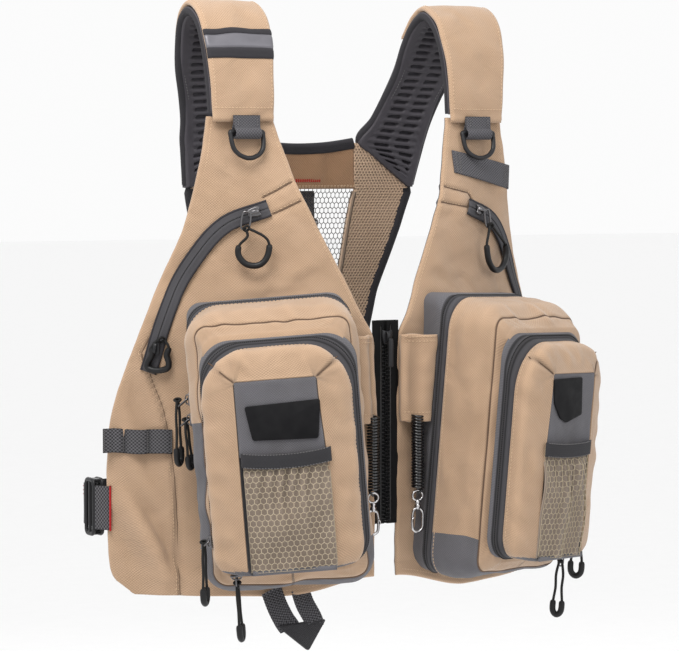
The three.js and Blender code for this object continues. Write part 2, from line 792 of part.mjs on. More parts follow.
// Folded webbing under the pocket that holds the butt of a fishing rod.
function addRodLoop(parent) {
  const outline = new THREE.Shape();
  [
    [117, -519.6],
    [68, -519.6],
    [56, -536],
    [52, -551],
    [62, -578],
    [77, -576],
    [99, -551],
    [104, -538],
  ].forEach(([x, z], i) => (i ? outline.lineTo(x, z) : outline.moveTo(x, z)));
  outline.closePath();
  const slot = new THREE.Path();
  slot.moveTo(86, -526);
  slot.lineTo(70, -550);
  slot.lineTo(80, -551.5);
  slot.closePath();
  outline.holes.push(slot);
  const loop = extrudedPlate(outline, 4.6).rotateX(Math.PI / 2).translate(0, -68, 0);
  addMesh(parent, "rod_loop", loop, "black");
}

function addCentreSlider(parent) {
  const front = ZIP.front - 1;
  const slider = sliderBody(13, 13, 3).rotateX(Math.PI / 2).translate(0, front, -286);
  addMesh(parent, "centre_zip_slider", slider, "black");
  const pull = box([5.5, 1.8, 26], [0, front - 8.4, -300]);
  addMesh(parent, "centre_zip_pull", pull, "black");
}

// ---- Assembly ----
const vest = new THREE.Group();
addBackCentre(vest);
addNetRing(vest);
addCentreSlider(vest);
for (const side of ["left", "right"]) {
  const half = new THREE.Group();
  half.scale.x = side === "left" ? 1 : -1;
  vest.add(half);
  addShoulder(half, side);
  addSpacer(half, side);
  addSideStrap(half, side);
  addFront(half, side);
  if (side === "left") addShoulderWebbing(half);
  if (side === "right") {
    addWebbingLoops(half);
    addRodLoop(half);
  }
}

export default vest;
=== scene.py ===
"""Looks of the fishing vest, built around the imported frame.

Lengths are in millimetres until a mesh is made. Each side is drawn at positive x, where the left one
is, and the right one is mirrored.
"""
import math

import bpy
import numpy as np
from mathutils import Matrix, Vector


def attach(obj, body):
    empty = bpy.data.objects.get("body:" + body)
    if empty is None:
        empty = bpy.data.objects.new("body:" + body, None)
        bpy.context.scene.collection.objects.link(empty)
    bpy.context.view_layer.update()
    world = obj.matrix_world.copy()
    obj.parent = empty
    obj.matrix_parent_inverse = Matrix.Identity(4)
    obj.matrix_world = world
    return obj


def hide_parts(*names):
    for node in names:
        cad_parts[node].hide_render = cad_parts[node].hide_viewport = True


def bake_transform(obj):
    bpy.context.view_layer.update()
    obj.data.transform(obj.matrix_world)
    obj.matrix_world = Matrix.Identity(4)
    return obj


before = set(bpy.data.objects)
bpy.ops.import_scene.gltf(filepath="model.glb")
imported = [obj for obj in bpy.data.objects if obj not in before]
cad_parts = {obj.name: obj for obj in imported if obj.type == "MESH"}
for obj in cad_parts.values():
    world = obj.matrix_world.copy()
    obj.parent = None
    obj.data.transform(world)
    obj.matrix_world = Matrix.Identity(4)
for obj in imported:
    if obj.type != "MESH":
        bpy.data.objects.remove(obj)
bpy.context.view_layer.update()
MM = 0.001
SIDES = {"left": 1, "right": -1}

# ---- Camera, light and floor ----
VIEW_AZIMUTH, VIEW_ELEVATION = math.radians(-28), math.radians(3)
VIEW_DISTANCE, VIEW_TARGET = 3.0, Vector((0, 0, -0.28))
SENSOR, LENS = 36.0, 171.0
WORLD_STRENGTH = 0.97
LIGHTS = [  # name, azimuth, elevation, distance, size, power and tint
    ("Key", -50, 50, 1.35, 0.7, 16.0, (1, 0.985, 0.965)),
    ("Fill", 22, 24, 2.6, 1.4, 11, (0.97, 0.985, 1)),
    ("Back", 170, 35, 2.4, 1.6, 14, (1, 1, 1)),
]


def view_axis(azimuth, elevation):
    """The direction from the vest to a camera or light."""
    flat = math.cos(elevation)
    return Vector((math.sin(azimuth) * flat, -math.cos(azimuth) * flat, math.sin(elevation)))


def add_camera():
    data = bpy.data.cameras.new("Camera")
    data.sensor_width, data.lens = SENSOR, LENS
    camera = bpy.data.objects.new("Camera", data)
    bpy.context.scene.collection.objects.link(camera)
    back = view_axis(VIEW_AZIMUTH, VIEW_ELEVATION)
    camera.location = VIEW_TARGET + back * VIEW_DISTANCE
    camera.rotation_euler = (-back).to_track_quat("-Z", "Y").to_euler()
    bpy.context.scene.camera = camera


def add_light(name, azimuth, elevation, distance, size, power, tint):
    data = bpy.data.lights.new(name, "AREA")
    data.shape, data.size, data.energy, data.color = "DISK", size, power, tint
    light = bpy.data.objects.new(name, data)
    bpy.context.scene.collection.objects.link(light)
    away = view_axis(math.radians(azimuth), math.radians(elevation))
    light.location = VIEW_TARGET + away * distance
    light.rotation_euler = (-away).to_track_quat("-Z", "Y").to_euler()


def add_studio():
    for light in LIGHTS:
        add_light(*light)
    world = bpy.data.worlds.new("Studio")
    world.use_nodes = True
    background = world.node_tree.nodes["Background"]
    background.inputs["Color"].default_value = (1, 1, 1, 1)
    background.inputs["Strength"].default_value = WORLD_STRENGTH
    bpy.context.scene.world = world
    bpy.context.scene.view_settings.view_transform = "Standard"


add_camera()
add_studio()


# ---- Materials ----
class Graph:
    """A material's node tree, with short calls to add and join nodes."""

    def __init__(self, name, roughness, metallic=0.0, sheen=0.0, coat=0.0):
        self.material = bpy.data.materials.new(name)
        self.material.use_nodes = True
        self.tree = self.material.node_tree
        self.shader = self.tree.nodes["Principled BSDF"]
        values = {"Roughness": roughness, "Metallic": metallic, "Sheen Weight": sheen, "Coat Weight": coat}
        values["Specular IOR Level"] = 0.5 if metallic or coat else 0.25
        for socket, value in values.items():
            self.shader.inputs[socket].default_value = value

    def add(self, kind, settings=None, **inputs):
        node = self.tree.nodes.new("ShaderNode" + kind)
        for key, value in (settings or {}).items():
            setattr(node, key, value)
        for key, value in inputs.items():
            socket = node.inputs[int(key[1:])] if key[1:].isdigit() else node.inputs[key.replace("_", " ")]
            if isinstance(value, bpy.types.NodeSocket):
                self.tree.links.new(value, socket)
            else:
                socket.default_value = value
        return node.outputs[0]

    def math(self, operation, first, second=0.0):
        return self.add("Math", {"operation": operation}, i0=first, i1=second)

    def mix(self, share, first, second, blend="MIX"):
        node = self.tree.nodes.new("ShaderNodeMix")
        node.data_type, node.blend_type = "RGBA", blend
        for index, value in ((0, share), (6, first), (7, second)):
            if isinstance(value, bpy.types.NodeSocket):
                self.tree.links.new(value, node.inputs[index])
            else:
                node.inputs[index].default_value = value
        return node.outputs[2]

    def ramp(self, value, low, high):
        """From 0 to 1 between two values."""
        return self.add("MapRange", i0=value, i1=low, i2=high)

    def finish(self, colour, bump, distance):
        """Joins up the colour and the relief, whose depth is in millimetres."""
        self.tree.links.new(colour, self.shader.inputs["Base Color"])
        height = self.add("Bump", Strength=1.0, Distance=distance * MM, Height=bump)
        self.tree.links.new(height, self.shader.inputs["Normal"])
        return self.material


DYE = 0.73
FIBRE_SHADE, PATCH_SHADE = (0.86, 0.86, 0.86, 1), (0.93, 0.92, 0.9, 1)


def tone(colour, factor):
    """A colour made lighter or darker, with the strength that all the dyes share."""
    return tuple(c * factor * DYE for c in colour) + (1.0,)


def coordinates(graph):
    """Millimetres along the cloth as a vector, and split up. The third one is how shaded a place is."""
    node = graph.tree.nodes.new("ShaderNodeAttribute")
    node.attribute_name = "cloth"
    place = node.outputs["Vector"]
    split = graph.tree.nodes.new("ShaderNodeSeparateXYZ")
    graph.tree.links.new(place, split.inputs[0])
    return place, split.outputs


def woven(
    name, colour, pitch=(2.3, 2.3), contrast=0.27, depth=0.32, rough=0.88, sheen=0.25, speckle=None,
    crumple=0.0, twill=0.0
):
    """Plain-woven cloth: over-and-under threads, fine fibre, uneven dye, worn high places and painted shade.
    """
    g = Graph(name, rough, sheen=sheen * min(1.0, 2.5 * sum(colour) / 3))
    _, (across, along, shade) = coordinates(g)
    flat = g.add("CombineXYZ", i0=across, i1=along)
    warp = g.math("SINE", g.math("MULTIPLY", across, 2 * math.pi / pitch[0]))
    weft = g.math("SINE", g.math("MULTIPLY", along, 2 * math.pi / pitch[1]))
    plain = g.math("MULTIPLY", warp, weft)
    slope = g.math("SINE", g.math("MULTIPLY", g.math("ADD", across, along), 1.8 * math.pi / pitch[0]))
    woven_height = g.math("ADD", g.math("MULTIPLY", plain, 1 - twill), g.math("MULTIPLY", slope, twill))
    over = g.ramp(woven_height, -1.0, 1.0)
    fibre = g.add("TexNoise", Vector=flat, Scale=1.1, Detail=3.0, Roughness=0.65)
    patch = g.add("TexNoise", Vector=flat, Scale=0.028, Detail=3.0, Roughness=0.55)
    base = g.mix(over, tone(colour, 1 - contrast), tone(speckle or colour, 1 + contrast * 0.55))
    base = g.mix(g.ramp(fibre, 0.3, 0.7), g.mix(1.0, base, FIBRE_SHADE, "MULTIPLY"), base)
    base = g.mix(g.ramp(patch, 0.35, 0.65), g.mix(1.0, base, PATCH_SHADE, "MULTIPLY"), base)
    worn = g.ramp(g.tree.nodes.new("ShaderNodeNewGeometry").outputs["Pointiness"], 0.5, 0.56)
    base = g.mix(g.math("MULTIPLY", worn, 0.35), base, tone(colour, 1.3))
    # Painted shade: the cloth's third coordinate darkens it in seams, folds, grooves and recesses.
    base = g.mix(shade, base, tone(colour, 0.22))
    bump = g.math("ADD", over, g.math("MULTIPLY", fibre, 0.5))
    if crumple:
        soft = g.add("TexNoise", Vector=flat, Scale=0.03, Detail=2.0, Roughness=0.45, Distortion=0.4)
        crease = g.math("ABSOLUTE", g.math("SUBTRACT", soft, 0.5))
        bump = g.math("ADD", bump, g.math("MULTIPLY", g.math("SUBTRACT", soft, crease), crumple))
    return g.finish(base, bump, depth)


def moulded(name, colour, rough, metallic=0.0, coat=0.0, grain=1.6, depth=0.05, wear=1.4):
    """Plastic, rubber, foam or metal: fine grain, smudged colour and lighter worn edges."""
    g = Graph(name, rough, metallic, coat=coat)
    place, _ = coordinates(g)
    fine = g.add("TexNoise", Vector=place, Scale=grain, Detail=3.0)
    smudge = g.add("TexNoise", Vector=place, Scale=0.09, Detail=2.0)
    base = g.mix(smudge, tone(colour, 0.82), tone(colour, 1.15))
    worn = g.ramp(g.tree.nodes.new("ShaderNodeNewGeometry").outputs["Pointiness"], 0.51, 0.6)
    base = g.mix(g.math("MULTIPLY", worn, 0.5), base, tone(colour, wear))
    varied = g.add("MapRange", i0=smudge, i1=0.3, i2=0.7, i3=max(rough - 0.08, 0.05), i4=rough + 0.1)
    g.tree.links.new(varied, g.shader.inputs["Roughness"])
    return g.finish(base, fine, depth)


TAN = (0.575, 0.388, 0.254)
GREY = (0.16, 0.156, 0.172)
canvas = woven("canvas", TAN, crumple=8.0, twill=0.12)
# Painted shade: a darker, warmer copy of the tan canvas for the back panels, standing in for the shade on
# their inner sides.
shaded_canvas = woven("shaded_canvas", (0.47, 0.27, 0.15), crumple=8.0, twill=0.12)
grey_canvas = woven("grey_canvas", GREY, contrast=0.26, crumple=6.0)
lining = woven("lining", (0.10, 0.10, 0.11), pitch=(1.3, 1.3), depth=0.15)
lining_mesh = woven("mesh_lining", (0.35, 0.28, 0.225), pitch=(1.3, 1.3), depth=0.15)
tape = woven("zip_tape", (0.085, 0.083, 0.092), pitch=(1.0, 2.0), depth=0.15, contrast=0.25)
black_tape = woven("black_tape", (0.004, 0.004, 0.0045), pitch=(1.0, 2.0), depth=0.15, rough=0.95, sheen=0.0)
binding = woven("binding", (0.038, 0.036, 0.042), pitch=(1.1, 1.8), depth=0.2, contrast=0.3)
webbing = woven("webbing", (0.062, 0.06, 0.068), (3.0, 2.6), 0.55, 0.5, 0.8, speckle=(0.15, 0.148, 0.165))
loop_webbing = woven(
    "loop_webbing", (0.012, 0.0115, 0.014), (3.6, 3.1), 0.7, 0.6, 0.85, 0.05, speckle=(0.15, 0.147, 0.16)
)
black_webbing = woven("black_webbing", (0.014, 0.013, 0.015), (3.0, 2.6), 0.5, 0.5, 0.75)
spacer = woven("spacer_mesh", (0.85, 0.60, 0.42), pitch=(1.0, 1.0), contrast=0.3)
net_black = woven("net_black", (0.10, 0.085, 0.075), pitch=(0.8, 0.8), depth=0.08)
net_khaki = woven("net_khaki", (0.52, 0.43, 0.30), pitch=(0.8, 0.8), depth=0.08)
elastic = woven("elastic", (0.042, 0.041, 0.046), pitch=(1.2, 3.2), contrast=0.35, depth=0.3)
thread = woven("thread", (0.66, 0.46, 0.30), pitch=(0.5, 0.5), depth=0.05)
# Painted shade: a dark cord laid in seam and mitre grooves stands in for their shadow.
seam_shade_cord = woven("seam_shade_cord", (0.16, 0.1, 0.065), pitch=(0.5, 0.5), depth=0.05)
dark_thread = woven("dark_thread", (0.16, 0.155, 0.16), pitch=(0.5, 0.5), depth=0.05)
red_thread = woven("red_thread", (0.45, 0.012, 0.014), pitch=(0.5, 0.5), depth=0.05)
foam = moulded("eva_foam", (0.075, 0.069, 0.08), 0.5, grain=1.3, depth=0.12)
patch = moulded("patch", (0.0035, 0.0032, 0.0045), 0.78, grain=0.9, depth=0.03)
rubber = moulded("rubber", (0.013, 0.013, 0.014), 0.42, depth=0.03)
cord_black = woven("cord_black", (0.012, 0.012, 0.012), pitch=(0.9, 0.9), depth=0.12, rough=0.6)
acetal = moulded("acetal", (0.018, 0.018, 0.02), 0.36, depth=0.02)
zip_tooth = moulded("zip_tooth", (0.012, 0.012, 0.013), 0.3, coat=0.3, depth=0.02)
coil_plastic = moulded("coil_plastic", (0.008, 0.008, 0.009), 0.22, coat=0.4, depth=0.01)
steel = moulded("steel", (0.62, 0.61, 0.62), 0.2, 1.0, depth=0.02, wear=1.2)
gunmetal = moulded("gunmetal", (0.16, 0.155, 0.16), 0.28, 1.0, depth=0.02, wear=2.0)
reflective = moulded("reflective", (0.17, 0.165, 0.185), 0.42, 0.3, grain=3.0, depth=0.05)


# ---- Numbers shared with the frame's shapes ----
AHEAD, BEHIND, UPWARDS, SIDEWAYS = (0, -1.0, 0), (0, 1.0, 0), (0, 0, 1.0), (1.0, 0, 0)


def smooth(value, low, high):
    """Rises smoothly from 0 to 1 between two values."""
    t = np.clip((np.asarray(value, float) - low) / (high - low), 0, 1)
    return t * t * (3 - 2 * t)


def column(table, key, index):
    """Interpolates one column of a table whose first column falls."""
    table = np.asarray(table, float)
    return np.interp(-np.asarray(key, float), -table[:, 0], table[:, index])


def eased(table, key, index, reach=9.0):
    """The same, with its corners rounded off over a reach."""
    key = np.asarray(key, float)
    return sum(column(table, key + d * reach, index) for d in (-1, -0.5, 0, 0.5, 1)) / 5


FRONT_SHAPE = [
    (-84, -44, 0.0004), (-165, -76, 0.0018), (-235, -84, 0.0022), (-260, -90, 0.0022), (-600, -90, 0.0022)
]
BACK_SHAPE = [(-30, 48), (-98, 84), (-164, 96), (-250, 102), (-350, 100), (-600, 93)]
BACK_CURVE = 0.0008
FRONT_EDGES = [
    (-87, 91, 152), (-120, 82, 157), (-155, 73, 163), (-195, 55, 172), (-235, 36, 187), (-260, 26, 196),
    (-286, 11, 204), (-342, 11, 221), (-369, 11, 224.5), (-420, 11, 226), (-488, 11, 224.5),
    (-504, 11, 222.5), (-512, 11, 218), (-517, 11, 209), (-519, 11, 199),
]


def front_y(x, z):
    return eased(FRONT_SHAPE, z, 1) + eased(FRONT_SHAPE, z, 2) * x * x


def back_y(x, z):
    return eased(BACK_SHAPE, z, 1) - BACK_CURVE * x * x


def ripple(a, b, size, seed):
    """Smooth noise of about unit height over two lengths."""
    rng = np.random.default_rng(seed)
    total = 0.0
    for _ in range(9):
        angle, phase = rng.uniform(0, 2 * math.pi, 2)
        wave = 2 * math.pi / (size * rng.uniform(0.7, 1.6))
        total = total + np.sin(wave * (a * math.cos(angle) + b * math.sin(angle)) + phase)
    return total / 3


def creases(a, b, lines):
    """Soft folds along lines, as (a0, b0, a1, b1, width, height), each with a hollow on one side."""
    height = 0.0
    for a0, b0, a1, b1, width, rise in lines:
        da, db = a1 - a0, b1 - b0
        length = math.hypot(da, db)
        t = np.clip(((a - a0) * da + (b - b0) * db) / length**2, 0, 1)
        away = np.hypot(a - a0 - t * da, b - b0 - t * db)
        side = smooth(((a - a0) * db - (b - b0) * da) / length, -width, width)
        taper = np.sin(math.pi * (0.1 + 0.8 * t))
        hollow = 0.6 * side * np.exp(-(((away - 1.7 * width) / width) ** 2))
        height = height + rise * taper * (np.exp(-((away / width) ** 2)) - hollow)
    return height


def distance_to(a, b, line):
    """Distance from places (a, b) to a line of points."""
    nearest = np.full(np.broadcast(a, b).shape, 1e9)
    for (a0, b0), (a1, b1) in zip(line, line[1:]):
        da, db = a1 - a0, b1 - b0
        t = np.clip(((a - a0) * da + (b - b0) * db) / (da * da + db * db), 0, 1)
        nearest = np.minimum(nearest, np.hypot(a - a0 - t * da, b - b0 - t * db))
    return nearest


def unit(vectors):
    return vectors / np.maximum(np.linalg.norm(vectors, axis=-1, keepdims=True), 1e-9)


def headings(path):
    return unit(np.gradient(path, axis=0))


def xyz(x, y, z):
    """Points from three arrays of coordinates, which may have different shapes."""
    return np.stack(np.broadcast_arrays(x, y, z), -1)


def run_along(path):
    """The length of a line up to each of its points."""
    return np.r_[0, np.cumsum(np.linalg.norm(np.diff(path, axis=0), axis=1))]


def spaced(path, step, closed=False):
    """A line resampled evenly, about a step apart."""
    path = np.asarray(path, float)
    if closed:
        path = np.vstack([path, path[:1]])
    run = run_along(path)
    count = max(2, int(round(run[-1] / step)) + 1)
    at = np.linspace(0, run[-1], count)
    even = np.stack([np.interp(at, run, path[:, i]) for i in range(path.shape[1])], 1)
    return even[:-1] if closed else even


def through(points, per, closed=False):
    """A Catmull-Rom line with the same number of steps between each pair of points."""
    p = np.asarray(points, float)
    p = np.vstack([p[-1], p, p[0], p[1]]) if closed else np.vstack([2 * p[0] - p[1], p, 2 * p[-1] - p[-2]])
    t = np.linspace(0, 1, per, endpoint=False)[:, None]
    made = [
        0.5 * (2 * b + (c - a) * t + (2 * a - 5 * b + 4 * c - d) * t**2 + (3 * b - a - 3 * c + d) * t**3)
        for a, b, c, d in zip(p, p[1:], p[2:], p[3:])
    ]
    return np.vstack(made if closed else made + [p[-2:-1]])


def curve(points, step, closed=False):
    """A Catmull-Rom line through points, resampled evenly."""
    return spaced(through(points, 12, closed), step, closed)


# ---- Mesh making ----
class Part:
    """The points, faces and cloth coordinates of one piece."""

    def __init__(self):
        self.points, self.cloth, self.faces, self.slots, self.count = [], [], [], [], 0

    def add(self, points, faces, cloth, slot=0):
        """Adds points with blocks of faces. A third column of `cloth` darkens woven cloth as painted shade.
        """
        points = np.asarray(points, float).reshape(-1, 3)
        cloth = np.asarray(cloth, float)
        cloth = cloth.reshape(-1, cloth.shape[-1])
        if cloth.shape[1] == 2:
            cloth = np.c_[cloth, np.zeros(len(cloth))]
        self.points.append(points)
        self.cloth.append(cloth)
        for block in faces:
            block = np.asarray(block)
            self.faces += (block + self.count).tolist()
            self.slots += [slot] * len(block)
        self.count += len(points)

    def join(self, other, slot=None):
        """Takes in another part, with its own slots or all in one."""
        self.faces += [[i + self.count for i in face] for face in other.faces]
        self.slots += other.slots if slot is None else [slot] * len(other.faces)
        self.points += other.points
        self.cloth += other.cloth
        self.count += other.count

    def moved(self, matrix):
        matrix = np.asarray(matrix, float)
        self.points = [p @ matrix[:3, :3].T + matrix[:3, 3] for p in self.points]
        if np.linalg.det(matrix[:3, :3]) < 0:
            self.faces = [face[::-1] for face in self.faces]
        return self

    def sided(self, side):
        """Mirrors the part when it is for the right side."""
        return self.moved(np.diag([SIDES[side], 1, 1, 1]))


def piece(name, part, body, materials, replaces=()):
    """Makes a part into a named mesh that rides a body of the frame."""
    mesh = bpy.data.meshes.new(name)
    mesh.from_pydata((np.vstack(part.points) * MM).tolist(), [], part.faces)
    cloth = mesh.attributes.new("cloth", "FLOAT_VECTOR", "POINT")
    cloth.data.foreach_set("vector", np.vstack(part.cloth).astype(np.float32).ravel())
    for material in materials:
        mesh.materials.append(material)
    mesh.polygons.foreach_set("material_index", part.slots)
    mesh.shade_smooth()
    mesh.update()
    made = bpy.data.objects.new(name, mesh)
    bpy.context.scene.collection.objects.link(made)
    if replaces:
        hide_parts(*replaces)
    if body:
        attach(made, body)
    return made


def quads(rows, columns, closed=False):
    """The corners of the faces of a grid, which may close round its columns."""
    r = np.arange(rows - 1)[:, None]
    c = np.arange(columns if closed else columns - 1)[None, :]
    after = (c + 1) % columns
    corners = (r * columns + c, r * columns + after, (r + 1) * columns + after, (r + 1) * columns + c)
    return np.stack([np.broadcast_to(k, np.broadcast(r, c).shape).ravel() for k in corners], 1)


def grid_normals(points, closed=False):
    if closed:
        across = np.roll(points, -1, 1) - np.roll(points, 1, 1)
    else:
        across = np.gradient(points, axis=1)
    return unit(np.cross(across, np.gradient(points, axis=0)))


def runs(points):
    """Lengths along the columns and rows of a grid, and from the grid's border."""
    across = np.cumsum(np.linalg.norm(np.diff(points, axis=1, prepend=points[:, :1]), axis=2), 1)
    along = np.cumsum(np.linalg.norm(np.diff(points, axis=0, prepend=points[:1]), axis=2), 0)
    edge = np.minimum(
        np.minimum(across, across[:, -1:] - across), np.minimum(along, along[-1:] - along)
    )
    return across, along, edge


def slab(part, middle, outwards, out, into, shade=0.0, slots=(0, 0), soft=2.5, cloth=None):
    """A closed sheet about a grid of points, with a rounded border. `outwards` says which side is out."""
    across, along, edge = runs(middle)
    normal = grid_normals(middle)
    flipped = (normal * outwards).sum(-1).mean() < 0
    normal = -normal if flipped else normal
    pinch = np.sqrt(1 - (1 - np.clip(edge / soft, 0, 1)) ** 2) + 0.08
    top = middle + normal * (out * pinch)[..., None]
    bottom = middle - normal * (into * pinch)[..., None]
    rows, columns = middle.shape[:2]
    if cloth is None:
        cloth = np.stack([across, along], -1)
    cloth = np.concatenate([cloth, np.broadcast_to(shade, (rows, columns))[..., None]], -1)
    index = np.arange(rows * columns).reshape(rows, columns)
    rim = np.r_[index[0, :-1], index[:-1, -1], index[-1, :0:-1], index[:0:-1, 0]]
    wall = np.stack([rim, rim + rows * columns, np.roll(rim, -1) + rows * columns, np.roll(rim, -1)], 1)
    face = quads(rows, columns)
    back = face[:, ::-1] + rows * columns
    if flipped:
        face, back, wall = face[:, ::-1], back[:, ::-1], wall[:, ::-1]
    start = part.count
    part.add(
        np.concatenate([top.reshape(-1, 3), bottom.reshape(-1, 3)]), [face],
        np.tile(cloth.reshape(-1, 3), (2, 1)), slots[0]
    )
    for block, slot in ((wall, slots[0]), (back, slots[1])):
        part.faces += (block + start).tolist()
        part.slots += [slot] * len(block)
    return top


def sweep(part, path, section, slot=0, closed=False, up=None, size=None):
    """A section carried along a line. `up` keeps it level with a surface, and `size` scales it."""
    path = np.asarray(path, float)
    count, sides = len(path), len(section)
    if closed:
        tangent = unit(np.roll(path, -1, 0) - np.roll(path, 1, 0))
    else:
        tangent = headings(path)
    if up is None:
        normals = [unit(np.cross(tangent[0], [0.31, 0.83, 0.47]))]
        for t in tangent[1:]:
            n = normals[-1] - t * np.dot(normals[-1], t)
            normals.append(unit(n))
        up = np.array(normals)
    else:
        up = np.broadcast_to(up, path.shape)
        up = unit(up - tangent * (up * tangent).sum(-1, keepdims=True))
    side = np.cross(tangent, up)
    size = np.ones(count) if size is None else np.asarray(size, float)
    s = np.asarray(section, float)
    ring = path[:, None] + size[:, None, None] * (
        s[None, :, :1] * side[:, None] + s[None, :, 1:] * up[:, None]
    )
    cloth = xyz(run_along(s)[None, :], run_along(path)[:, None], 0.0)
    face = quads(count + 1 if closed else count, sides, True) % (count * sides)
    caps = [] if closed else [np.arange(sides)[None, :], (count - 1) * sides + np.arange(sides)[None, ::-1]]
    turn = np.sum(s[:, 0] * np.roll(s[:, 1], -1) - s[:, 1] * np.roll(s[:, 0], -1))
    blocks = [face, *caps]
    if turn > 0:
        blocks = [b[:, ::-1] for b in blocks]
    part.add(ring, blocks, cloth, slot)


def disc(radius, sides=8):
    """A round section."""
    a = np.arange(sides) * 2 * math.pi / sides
    return np.stack([radius * np.cos(a), radius * np.sin(a)], 1)


def bar(width, thickness, sides=3):
    """A flat section with rounded ends."""
    a = np.linspace(-math.pi / 2, math.pi / 2, sides + 2)
    end = np.stack([width / 2 - thickness / 2 + thickness / 2 * np.cos(a), thickness / 2 * np.sin(a)], 1)
    return np.vstack([end, -end])


STITCH_RINGS, STITCH_SIDES = ((-0.5, 0.3), (-0.3, 1.0), (0.3, 1.0), (0.5, 0.3)), 5
STITCH_POINTS = len(STITCH_RINGS) * STITCH_SIDES
SURFACE_STEP = 1.5


def sampled(values, run, at):
    """Values along a line, at other lengths along it."""
    return np.stack([np.interp(at, run, values[:, i]) for i in range(3)], 1)


def stitches(part, points, normals, slot=0, pitch=3.4, length=2.4, radius=0.42, slant=0.0, lift=0.15):
    """A row of thread stitches along a line that lies on a surface. `normals` may be one for all."""
    points = np.asarray(points, float)
    normals = np.broadcast_to(np.asarray(normals, float), points.shape)
    run = run_along(points)
    at = np.arange(pitch / 2, run[-1], pitch)
    if not len(at):
        return
    centre, normal = sampled(points, run, at), unit(sampled(normals, run, at))
    heading = unit(sampled(points, run, at + 0.6) - sampled(points, run, at - 0.6))
    side = unit(np.cross(normal, heading))
    heading = unit(heading + side * slant)
    side = unit(np.cross(normal, heading))
    a = np.arange(STITCH_SIDES) * 2 * math.pi / STITCH_SIDES
    shape = np.array(
        [(x * length, r * radius * math.cos(t), r * radius * math.sin(t)) for x, r in STITCH_RINGS for t in a]
    )
    verts = (
        centre[:, None] + normal[:, None] * lift
        + heading[:, None] * shape[None, :, :1]
        + side[:, None] * shape[None, :, 1:2]
        + normal[:, None] * shape[None, :, 2:]
    )
    one = quads(len(STITCH_RINGS), STITCH_SIDES, True)
    end = np.arange(STITCH_SIDES)[None, :]
    ends = (end[:, ::-1], STITCH_POINTS - STITCH_SIDES + end)
    shift = (np.arange(len(at)) * STITCH_POINTS)[:, None, None]
    blocks = [(b[None] + shift).reshape(-1, b.shape[1]) for b in (one, *ends)]
    part.add(verts, blocks, np.zeros((len(at) * STITCH_POINTS, 2)), slot)


def stitch_ring(part, ring, slot, **how):
    """Stitches round a closed ring, standing out from its middle."""
    line = spaced(ring, 2, True)
    stitches(part, line, unit(line * [1, 1, 0]), slot, **how)


def on_surface(place, line):
    """Even points along a line of surface coordinates, with the surface's normals."""
    ab = spaced(line, SURFACE_STEP)
    a, b = ab[:, 0], ab[:, 1]
    p = place(a, b)
    n = np.cross(place(a + 0.5, b) - place(a - 0.5, b), place(a, b + 0.5) - place(a, b - 0.5))
    return p, unit(n)


def sew(part, place, line, slot):
    """Stitches along a line of surface coordinates."""
    points, normals = on_surface(place, line)
    stitches(part, points, normals, slot)


def seam_line(part, place, line, slot, radius=0.62, lift=0.9):
    """A dark cord that lies in the groove of a seam, as painted shade for the groove."""
    points, normals = on_surface(place, curve(line, 2.0))
    sweep(part, points + normals * lift, disc(radius, 6), slot)


def shares(length, step, near=(0.4, 1.0, 2.0, 3.4)):
    """Shares from 0 to 1 along a length, closer together at both ends."""
    inner = np.linspace(near[-1], length - near[-1], max(2, int((length - 2 * near[-1]) / step) + 1))
    return np.r_[0, near[:-1], inner, length - np.array(near[-2::-1]), length] / length


def table_grid(edges, place, step, width):
    """A grid between the inner and outer edges of a table of [height, inner, outer]."""
    height = edges[0][0] - edges[-1][0]
    z = edges[0][0] - height * shares(height, step)
    s = shares(width, step)
    inner, outer = (eased(edges, z, i)[:, None] for i in (1, 2))
    inner[[0, -1]], outer[[0, -1]] = inner[[0, -1]], outer[[0, -1]]
    x = inner + (outer - inner) * s[None, :]
    return place(x, np.broadcast_to(z[:, None], x.shape))


# ---- Front panels ----
PANEL = 5.0
PRINCESS = [
    (184, -262), (201, -300), (195, -320), (187, -347), (183, -371), (178, -414), (175, -474), (174, -518)
]
CHEST_SEAMS = {
    "right": [[(106, -160), (79, -146)], [(99, -175), (73, -163)]],
    "left": [[(77, -151), (106, -157), (110, -163)], [(104, -170), (71, -165)]],
}
PANEL_FOLDS = {
    "right": [
        (60, -250, 120, -262, 9, 2.0), (130, -250, 160, -285, 8, 1.6), (220, -418, 186, -500, 7, 6.0),
        (212, -400, 186, -440, 8, 3.0), (205, -500, 120, -508, 8, 1.6), (205, -330, 190, -440, 9, -3.0),
        (222, -330, 206, -400, 10, 3.2), (222, -446, 200, -508, 7, -4.4),
        (86, -120, 96, -200, 10, 1.3), (140, -110, 150, -160, 9, 1.2), (196, -455, 184, -505, 6, 2.0),
        (60, -215, 96, -236, 7, 1.3), (150, -330, 172, -372, 7, 1.3), (80, -236, 150, -246, 7, 1.6),
    ],
    "left": [
        (70, -250, 130, -270, 10, 1.8), (30, -300, 24, -440, 8, 1.2), (100, -120, 92, -200, 9, 0.9),
        (216, -330, 205, -430, 10, 1.8), (220, -440, 196, -505, 8, 2.0), (150, -120, 156, -170, 9, 1.2),
        (40, -240, 90, -250, 8, 1.7), (56, -205, 80, -240, 7, 1.2), (18, -380, 30, -470, 7, 1.4),
    ],
}


HEM_STITCHES = [(16, -512), (60, -513), (110, -514), (200, -513)]


def hem_lift(x, z):
    """The hem rises towards the centre zip."""
    return 15 * (1 - smooth(x, 11, 95)) * smooth(-np.asarray(z, float), 480, 519)


def panel_outside(side):
    """The outer surface of a front panel, wrinkles and seams included."""
    seed = 3 if side == "left" else 8

    def place(x, z):
        rise = creases(x, z, PANEL_FOLDS[side]) + 0.8 * ripple(x, z, 46, seed)
        rise = rise + 0.25 * ripple(z, x, 17, seed + 1)
        for seam in [PRINCESS] + CHEST_SEAMS[side]:
            rise = rise - 1.7 * np.exp(-((distance_to(x, z, seam) / 2.1) ** 2))
        return xyz(x, front_y(x, z) - rise, z + hem_lift(x, z))

    return place


